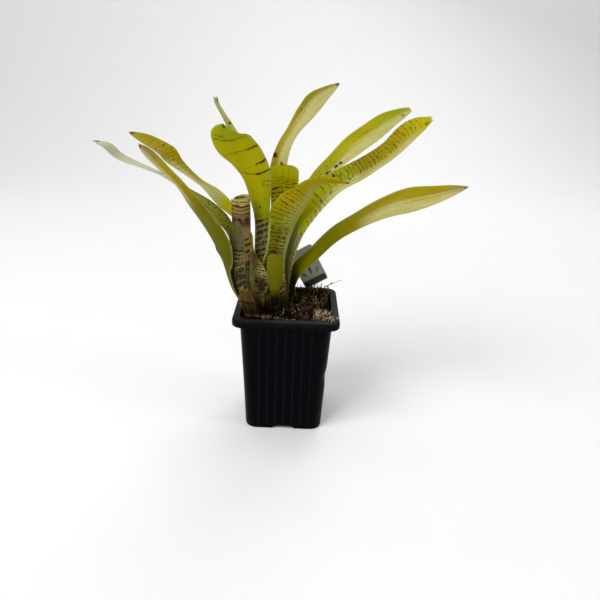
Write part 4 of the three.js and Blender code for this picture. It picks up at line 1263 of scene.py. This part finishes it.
def strew_chaff(form, rng, tries, level):
    """Pale crumbs and short bits that gather on the front of the mix."""
    for _ in range(tries):
        x = rng.gauss(-8, 10) if rng.random() < 0.5 else rng.uniform(-28, 20)
        y = -19.6 + abs(rng.gauss(0, 2.4))
        if not inside_rim(x, y, 1.2):
            continue
        z = ground_height(x, y, level) + 0.3
        if rng.random() < 0.45:
            length, tint = rng.uniform(1.2, 3.4), rng.uniform(0.5, 1)
            fibre(form, wander_from(rng, (x, y, z + 0.3), length, 0.1, 0.3), 0.22, tint)
        else:
            wide, tint = rng.uniform(0.25, 0.6), rng.uniform(0.5, 1)
            crumb(form, rng, (x, y, z), wide, tint)


def strew_fibres(form, rng, count, level):
    """Coarse fibres, most of them on the heap at the back right."""
    for x, y in scatter(count, lambda: (rng.gauss(17, 9), rng.gauss(7, 15)), 3.5):
        z = ground_height(x, y, level) + rng.uniform(0.1, 1.2)
        tint = rng.choice((0, 0.1, 0.2, 0.35, 0.55, 0.7, 0.95))
        length, radius, lift = rng.uniform(2.5, 9), rng.uniform(0.1, 0.3), rng.uniform(-0.1, 0.9)
        fibre(form, wander_from(rng, (x, y, z), length, lift, 0.9), radius, tint)


class PLANT_OT_mix(bpy.types.Operator):
    """Potting mix with an uneven top, loose crumbs, chaff and coarse fibres"""

    bl_idname = "plant.mix"
    bl_label = "Potting mix"

    def execute(self, context):
        settings = context.scene.bromeliad
        shape, level = settings.mix, settings.mix.top / MM
        rng = random.Random(17)
        form = Form()
        mix_block(form, settings)
        strew_crumbs(form, rng, shape.crumbs, level)
        strew_chaff(form, rng, shape.chaff, level)
        strew_fibres(form, rng, shape.fibres, level)
        set_down(form.build("mix_ground", mix_finish(shape)), "potting_mix")
        return {"FINISHED"}


# Bark chips: x, y, z of the underside, length, width, height in millimetres, and turn in degrees
CHIPS = {
    "bark_chip_1": (14, -4, 80, 11, 6, 3.4, 25),
    "bark_chip_2": (23, 8, 80, 9, 5.5, 3.6, -40),
    "bark_chip_3": (13, -18, 80, 8, 5, 2.6, 70),
    "bark_chip_4": (25, -8, 80, 7, 5, 3, 10),
    "bark_chip_5": (-4, -22, 80, 7, 4.5, 2.2, -15),
}


def bark_finish(shape, name, shift):
    f = Finish(name)
    where, x, y, z = f.place()
    grain = f.cloud(f.join(x * 0.35 + shift, y * 1.8, z * 2.6), 1, 4, 0.65)
    fine = f.cloud(where, 2.2, 4, 0.65)
    base = f.coat(
        shape.peat, (shape.bark, grain.rise(0.3, 0.62)),
        (shape.fibre, (grain * 0.6 + fine * 0.6).rise(0.6, 0.85) * 0.8),
    )
    return f.surface(base, 0.72 + fine * 0.3, grain + fine * 0.5, 0.4, 0.6, Specular_IOR_Level=0.25)


class PLANT_OT_bark(bpy.types.Operator):
    """Loose flaky pieces of bark on the mix"""

    bl_idname = "plant.bark"
    bl_label = "Bark chips"

    def execute(self, context):
        around, rows = 40, 22
        for number, (name, chip) in enumerate(CHIPS.items()):
            x, y, z, length, width, height, turn = chip
            points = []
            for r in range(rows):
                lift = -pi / 2 + pi * (r + 0.5) / rows
                for k in range(around):
                    angle = 2 * pi * k / around
                    px = blunted(cos(angle), 0.7) * cos(lift) ** 0.6
                    py = blunted(sin(angle), 0.7) * cos(lift) ** 0.6
                    pz = blunted(sin(lift), 0.7)
                    rough = 0.94 + 0.22 * noise_at(px * 2, py * 2, pz * 2, 1, number * 7.3)
                    rough += 0.09 * noise_at(px, py * 4, pz * 5, 1.6, number * 3.1)
                    flake = 0.08 * math.floor(3 * (0.5 + 0.5 * pz) + px) * cos(lift)
                    points.append(Vector((
                        px * (rough + flake * 0.4) * length / 2 * 0.93, py * rough * width / 2 * 0.93,
                        (pz * rough * 0.5 + 0.42) * height,
                    )))
            place = Matrix.Translation((x, y, z)) @ Matrix.Rotation(radians(turn), 4, "Z")
            form = Form()
            form.add([place @ p for p in points], ring_faces(rows, around))
            finish = bark_finish(context.scene.bromeliad.mix, name, number * 5.0)
            set_down(form.build(name + "_flaky", finish), name, "bark")
        return {"FINISHED"}


def moss_finish(shape):
    f = Finish("dry_moss")
    where, x, y, z = f.place()
    tint = f.tint()
    fine = f.cloud(where, 1.6, 4, 0.65)
    # Painted shade: the pad and the low and hanging strands have dark tints, and the moss darkens towards
    # its bottom.
    base = f.coat(
        shape.moss, (shape.fibre, tint.rise(0.3, 0.75) * 0.8), (shape.peat, tint.rise(0.75, 1.0) * 0.85),
        (shape.bark, z.rise(83.0, 80.8) * 0.8 + fine.rise(0.5, 0.7) * 0.35),
    )
    return f.surface(base, 0.72 + fine * 0.3, fine, 0.25, 0.5, Specular_IOR_Level=0.25)


MOSS_MIDDLE = Vector((24.0, -21.2, 80.5))
MOSS_TURN = Matrix.Rotation(radians(-25), 3, "Z")


def moss_pad(form, around=48, rows=14):
    """The low pad under the strands, kept inside the pot, with the darkest tint as painted shade between
    the strands.
    """
    points = []
    for r in range(rows):
        lift = -0.5 + (pi / 2 + 0.42) * r / (rows - 1)
        for k in range(around):
            angle = 2 * pi * k / around
            out = 0.92 + 0.5 * noise_at(cos(angle), sin(angle), lift, 2.1)
            p = MOSS_TURN @ Vector((
                6.4 * out * cos(lift) * cos(angle), 5.0 * out * cos(lift) * sin(angle),
                2.7 * out * sin(lift) + 0.5,
            )) + MOSS_MIDDLE
            points.append((min(p.x, WALL_INSIDE - 0.05), max(p.y, 0.05 - WALL_INSIDE), p.z))
    form.add(points, ring_faces(rows, around), 1.0)


def moss_strand(form, rng, hang):
    """One curled strand, in a loop over the pad or hanging over the rim of the pot."""
    angle = rng.uniform(0, 2 * pi)
    share = math.sqrt(rng.random())
    p = Vector((
        6.2 * share * cos(angle), 4.6 * share * sin(angle),
        3.4 * math.sqrt(max(0, 1 - share * share)) + rng.uniform(-0.6, 2.2),
    ))
    if hang:
        p = Vector((6.2 + rng.uniform(0, 4.6), rng.uniform(-7.5, 0.5), 4.4 + rng.uniform(0, 0.9)))
    start = MOSS_TURN @ p + MOSS_MIDDLE
    length = rng.uniform(1.5, 3.6 if hang else 6.5)
    lift = rng.uniform(-0.9, 0) if hang else rng.uniform(-0.6, 0.5)
    bent = []
    for x, y, z in wander_from(rng, start, length, lift, 1.6):
        beyond = max(x, -y) - RIM_EDGE
        if not hang:
            bent.append((min(x, WALL_INSIDE), max(y, -WALL_INSIDE), max(z, MOSS_BED)))
        elif beyond < 0:
            bent.append((x, y, max(z, RIM_TOP)))
        else:
            low = max(z - 0.6 * beyond, MOSS_LOW)
            bent.append((min(x, MOSS_REACH), max(y, -MOSS_REACH), low))
    thin = rng.uniform(0.12, 0.3)
    # Painted shade: low and hanging strands are made darker.
    shade = rng.choice((0, 0.1, 0.2, 0.45, 0.8, 1.0)) + (0.35 if hang or start.z < 81.8 else 0)
    tube(form, bent, [thin * (1 - 0.55 * k / len(bent)) for k in range(len(bent))], 4, shade)


class PLANT_OT_moss(bpy.types.Operator):
    """Dry moss in the front right corner: a low pad with many curled strands"""

    bl_idname = "plant.moss"
    bl_label = "Dry moss"

    def execute(self, context):
        shape = context.scene.bromeliad.mix
        rng = random.Random(5)
        form = Form()
        moss_pad(form)
        for number in range(shape.strands):
            moss_strand(form, rng, number % 4 == 0)
        set_down(form.build("moss_strands", moss_finish(shape)), "moss_tuft", "moss")
        return {"FINISHED"}


def twig_finish(shape, name, colour):
    f = Finish(name)
    where, x, y, z = f.place()
    fine = f.cloud(f.join(x * 2.5, y * 2.5, z * 0.6), 1, 4, 0.6)
    base = f.coat(colour, (shape.peat, fine.rise(0.45, 0.75) * 0.6))
    return f.surface(base, 0.66 + fine * 0.3, fine, 0.15, 0.5, Specular_IOR_Level=0.3)


# Thin things that stand up from the mix: places on the way in millimetres, radius and colour
TWIGS = {
    "thin_stake": (((23.6, 22.8, 78.5), (23.65, 22.8, 85), (23.7, 22.8, 91.5)), 0.5, "stake"),
    "curled_root": (((27, 18, 78.5), (28.6, 20, 85), (28.4, 21, 89.5), (26.4, 20.6, 90)), 0.5, "fibre"),
    "dry_root": (((21, 24.5, 78.5), (24.5, 27, 85), (30, 30, 88.2), (39, 33, 91)), 0.26, "root"),
}


class PLANT_OT_strands(bpy.types.Operator):
    """A thin stake, a curled root and a dry root that stand up from the mix"""

    bl_idname = "plant.strands"
    bl_label = "Stake and roots"

    def execute(self, context):
        shape = context.scene.bromeliad.mix
        for seed, (name, (stops, radius, colour)) in enumerate(TWIGS.items()):
            stops = np.array(stops, float)
            stations = np.linspace(0, len(stops) - 1, 44)
            path = route(stops, stations)
            share = stations / stations[-1]
            knots = 1 + 0.16 * np.sin(share * 37 + seed) * np.sin(share * 91)
            radii = radius * (1.05 - 0.45 * share) * knots
            path[:, 0] += 0.1 * np.sin(share * 21 + seed)
            path[:, 1] += 0.1 * np.sin(share * 17 + 2 * seed)
            if name == "dry_root":
                radii = radii + 0.42 * np.exp(-((share - 0.72) / 0.035) ** 2)
            form = Form()
            tube(form, path, radii, 10)
            set_down(form.build(name + "_fine", twig_finish(shape, name, getattr(shape, colour))), name)
        return {"FINISHED"}


def label_finish(shape):
    f = Finish("label_card")
    where, x, y, z = f.place()
    fine = f.cloud(where, 3.5, 3)
    broad = f.cloud(where, 0.12, 3)
    front = y.rise(-0.3, -0.36) * x.within(-17.3, -0.7, 0.12) * z.within(0.7, 27.3, 0.12)
    rise = z - 8
    leaves = []
    for middle, lean, reach in ((-13.5, -0.5, 7.5), (-9.2, 0.05, 9.5), (-4.8, 0.55, 7)):
        side = abs(x - middle - rise * lean) + (rise - reach * 0.45) * (rise - reach * 0.45) * 0.045
        leaves.append(side.rise(1.25, 1.0) * rise.within(0, reach, 0.2))
    motif = (strongest(leaves) * 0.75).most(z.rise(5.0, 4.7)) * front
    soil = (z + fine * 5).rise(0, -7)
    base = f.coat(
        shape.card, (shape.paler, broad.rise(0.4, 0.7) * 0.35), (shape.band, motif * (0.85 + broad * 0.3)),
        (shape.soil, soil * 0.7 + fine.rise(0.6, 0.75) * 0.12),
    )
    return f.surface(base, 0.34 + fine * 0.16 + soil * 0.3, fine, 0.03, 0.3, Specular_IOR_Level=0.42)


def label_outline(tag):
    """The tag seen from its front, as x, z points: four round corners, then the leg."""
    wide, tall, corner, leg, long = tag.width, tag.height, tag.corner, tag.leg_width, tag.leg_length
    outline = []
    for cx, cz, start in (
        (-corner, corner, -90), (-corner, tall - corner, 0), (corner - wide, tall - corner, 90),
        (corner - wide, corner, 180),
    ):
        for step in range(7):
            angle = radians(start + 15 * step)
            outline.append((cx + corner * cos(angle), cz + corner * sin(angle)))
    right, left = 3 - wide + leg / 2, 3 - wide - leg / 2
    return outline + [
        (left, -0.4), (left, 5 - long), (left + leg * 0.35, 1 - long), (right - leg * 0.35, 1 - long),
        (right, 5 - long), (right, -0.4), (right + 0.4, 0),
    ]


def label_card(name, tag):
    """The outline as a thin card with soft edges and a slight bow."""
    thick = tag.group.thick
    card = bmesh.new()
    front = card.faces.new([card.verts.new((x * MM, -thick / 2, z * MM)) for x, z in label_outline(tag)])
    bmesh.ops.recalc_face_normals(card, faces=[front])
    grown = bmesh.ops.extrude_face_region(card, geom=[front])
    moved = [v for v in grown["geom"] if isinstance(v, bmesh.types.BMVert)]
    bmesh.ops.translate(card, verts=moved, vec=(0, thick, 0))
    bmesh.ops.recalc_face_normals(card, faces=card.faces)
    rim = [e for e in card.edges if abs(e.verts[0].co.y - e.verts[1].co.y) < 1e-7]
    bmesh.ops.bevel(card, geom=rim, offset=0.14 * MM, segments=3, affect="EDGES", profile=0.5)
    for cuts in (3, 0):
        bmesh.ops.triangulate(card, faces=[face for face in card.faces if len(face.verts) > 4])
        if cuts:
            long = [e for e in card.edges if e.calc_length() > 4 * MM]
            bmesh.ops.subdivide_edges(card, edges=long, cuts=cuts, use_grid_fill=False)
    for vert in card.verts:
        vert.co.y += 0.35 * MM * sin((vert.co.x / MM + 9) / 7) * max(0, vert.co.z / MM / tag.height)
    mesh = bpy.data.meshes.new(name)
    card.to_mesh(mesh)
    card.free()
    return mesh


class PLANT_OT_label(bpy.types.Operator):
    """Flat plant label on a short leg, leaning over the back right corner"""

    bl_idname = "plant.label"
    bl_label = "Label"

    def execute(self, context):
        shape = context.scene.bromeliad.label
        name = "plant_label_card"
        label = place_mesh(name, label_card(name, InMillimetres(shape)), label_finish(shape))
        label.data.set_sharp_from_angle(angle=radians(50))
        label.matrix_world = (
            Matrix.Translation((28.4 * MM, 24 * MM, 95.3 * MM)) @ Matrix.Rotation(radians(-6), 4, "X")
            @ Matrix.Rotation(radians(-29.5), 4, "Y")
        )
        set_down(label, "plant_label", "label")
        return {"FINISHED"}


class PLANT_OT_leaves(bpy.types.Operator):
    """All leaves and sheaths of both rosettes"""

    bl_idname = "plant.leaves"
    bl_label = "Leaves"

    def execute(self, context):
        settings = context.scene.bromeliad
        for seed, (name, look) in enumerate(LOOKS.items()):
            finish = leaf_finish(name, look, settings.colours, 11.0 * seed)
            leaf_piece(name, InMillimetres(settings.leaf), finish, seed)
        return {"FINISHED"}


def ground_finish(colour):
    f = Finish("ground")
    fine = f.cloud(f.place()[0], 0.02, 3)
    base = f.coat(colour, (tuple(c * 0.97 for c in colour[:3]) + (1,), fine))
    return f.surface(base, 0.75 + fine * 0.1)


# Area lights: place, what each one aims at, and its width and length, in metres
LIGHTS = {
    "key": ((-0.75, -0.75, 1.15), (0, 0, 0.11), 0.9, 0.7),
    "fill": ((1.2, -0.35, 0.55), (0, 0, 0.11), 0.35, 0.9),
    "back": ((0.35, 1.1, 1.0), (0, 0, 0.11), 0.9, 0.6),
    "wall": ((-0.2, 0.5, 2.4), (-0.3, 1.3, 0.6), 1.6, 0.6),
}
# The camera: place in metres, and yaw, pitch down and roll in degrees
CAMERA_PLACE = (0.007, -0.366, 0.227)
CAMERA_TURN = (-0.25, 21, 2.34)


def soft_light(name, place, aim, width, length, strength):
    lamp = bpy.data.lights.new(name, "AREA")
    lamp.shape = "RECTANGLE"
    lamp.size, lamp.size_y, lamp.energy = width, length, strength
    holder = bpy.data.objects.new(name, lamp)
    bpy.context.scene.collection.objects.link(holder)
    holder.location = place
    holder.rotation_euler = (Vector(aim) - Vector(place)).to_track_quat("-Z", "Y").to_euler()


def lay_floor(colour):
    """A floor 6 m wide that bends up into a wall behind the plant."""
    bend = [(0.9 + 0.6 * sin(a), 0.6 - 0.6 * cos(a)) for a in np.linspace(0, pi / 2, 13).tolist()]
    profile = [(-2.5, 0.0)] + bend + [(1.5, 3.2)]
    widths = np.linspace(-3, 3, 9).tolist()
    form = Form()
    points = [(x / MM, y / MM, z / MM) for y, z in profile for x in widths]
    form.add(points, grid_faces(len(profile), len(widths)))
    form.build("floor", ground_finish(colour))


def even_sky(strength):
    world = bpy.data.worlds.new("soft_sky")
    world.use_nodes = True
    sky = world.node_tree.nodes["Background"]
    sky.inputs["Color"].default_value = (1, 1, 1, 1)
    sky.inputs["Strength"].default_value = strength
    return world


def view_camera(focal):
    lens = bpy.data.cameras.new("view")
    lens.sensor_fit, lens.sensor_width, lens.lens = "HORIZONTAL", 36, focal
    lens.clip_start, lens.clip_end = 0.01, 20
    camera = bpy.data.objects.new("view", lens)
    bpy.context.scene.collection.objects.link(camera)
    yaw, pitch, roll = [radians(turn) for turn in CAMERA_TURN]
    ahead = Vector((-sin(yaw) * cos(pitch), cos(yaw) * cos(pitch), -sin(pitch)))
    right = Vector((cos(yaw), sin(yaw), 0))
    up = right.cross(ahead)
    right, up = right * cos(roll) + up * sin(roll), up * cos(roll) - right * sin(roll)
    turn = Matrix((right, up, -ahead)).transposed().to_4x4()
    camera.matrix_world = Matrix.Translation(CAMERA_PLACE) @ turn
    return camera


class PLANT_OT_stage(bpy.types.Operator):
    """Pale floor that curves up into a backdrop, soft lights and the camera"""

    bl_idname = "plant.stage"
    bl_label = "Stage"

    def execute(self, context):
        scene = context.scene
        stage = scene.bromeliad.stage
        lay_floor(stage.ground)
        for name, light in LIGHTS.items():
            soft_light(name, *light, getattr(stage, name))
        scene.world = even_sky(stage.sky)
        scene.view_settings.view_transform = "Standard"
        scene.camera = view_camera(stage.lens)
        return {"FINISHED"}


class PLANT_PT_panel(bpy.types.Panel):
    """Sizes, colours and build buttons of the potted plant"""

    bl_label = "Potted bromeliad"
    bl_idname = "PLANT_PT_panel"
    bl_space_type = "VIEW_3D"
    bl_region_type = "UI"
    bl_category = "Plant"

    def draw(self, context):
        settings = context.scene.bromeliad
        for step in STEPS:
            self.layout.operator(step.bl_idname)
        for group in ("colours", "leaf", "pot", "mix", "label", "stage"):
            box = self.layout.box()
            box.label(text=group.capitalize())
            values = getattr(settings, group)
            for key in values.bl_rna.properties.keys():
                if key not in ("rna_type", "name"):
                    box.prop(values, key)


STEPS = (
    PLANT_OT_stage, PLANT_OT_pot, PLANT_OT_mix, PLANT_OT_bark, PLANT_OT_moss, PLANT_OT_strands,
    PLANT_OT_label, PLANT_OT_leaves,
)
GROUPS = (LeafColours, LeafShape, PotShape, MixShape, LabelShape, StageSettings, PlantSettings)
CLASSES = GROUPS + STEPS + (PLANT_PT_panel,)


def register():
    for kind in CLASSES:
        bpy.utils.register_class(kind)
    bpy.types.Scene.bromeliad = bpy.props.PointerProperty(type=PlantSettings)


def unregister():
    del bpy.types.Scene.bromeliad
    for kind in reversed(CLASSES):
        bpy.utils.unregister_class(kind)


def main():
    """Builds every piece and the stage."""
    register()
    for step in STEPS:
        family, verb = step.bl_idname.split(".")
        getattr(getattr(bpy.ops, family), verb)()


if __name__ == "__main__":
    main()
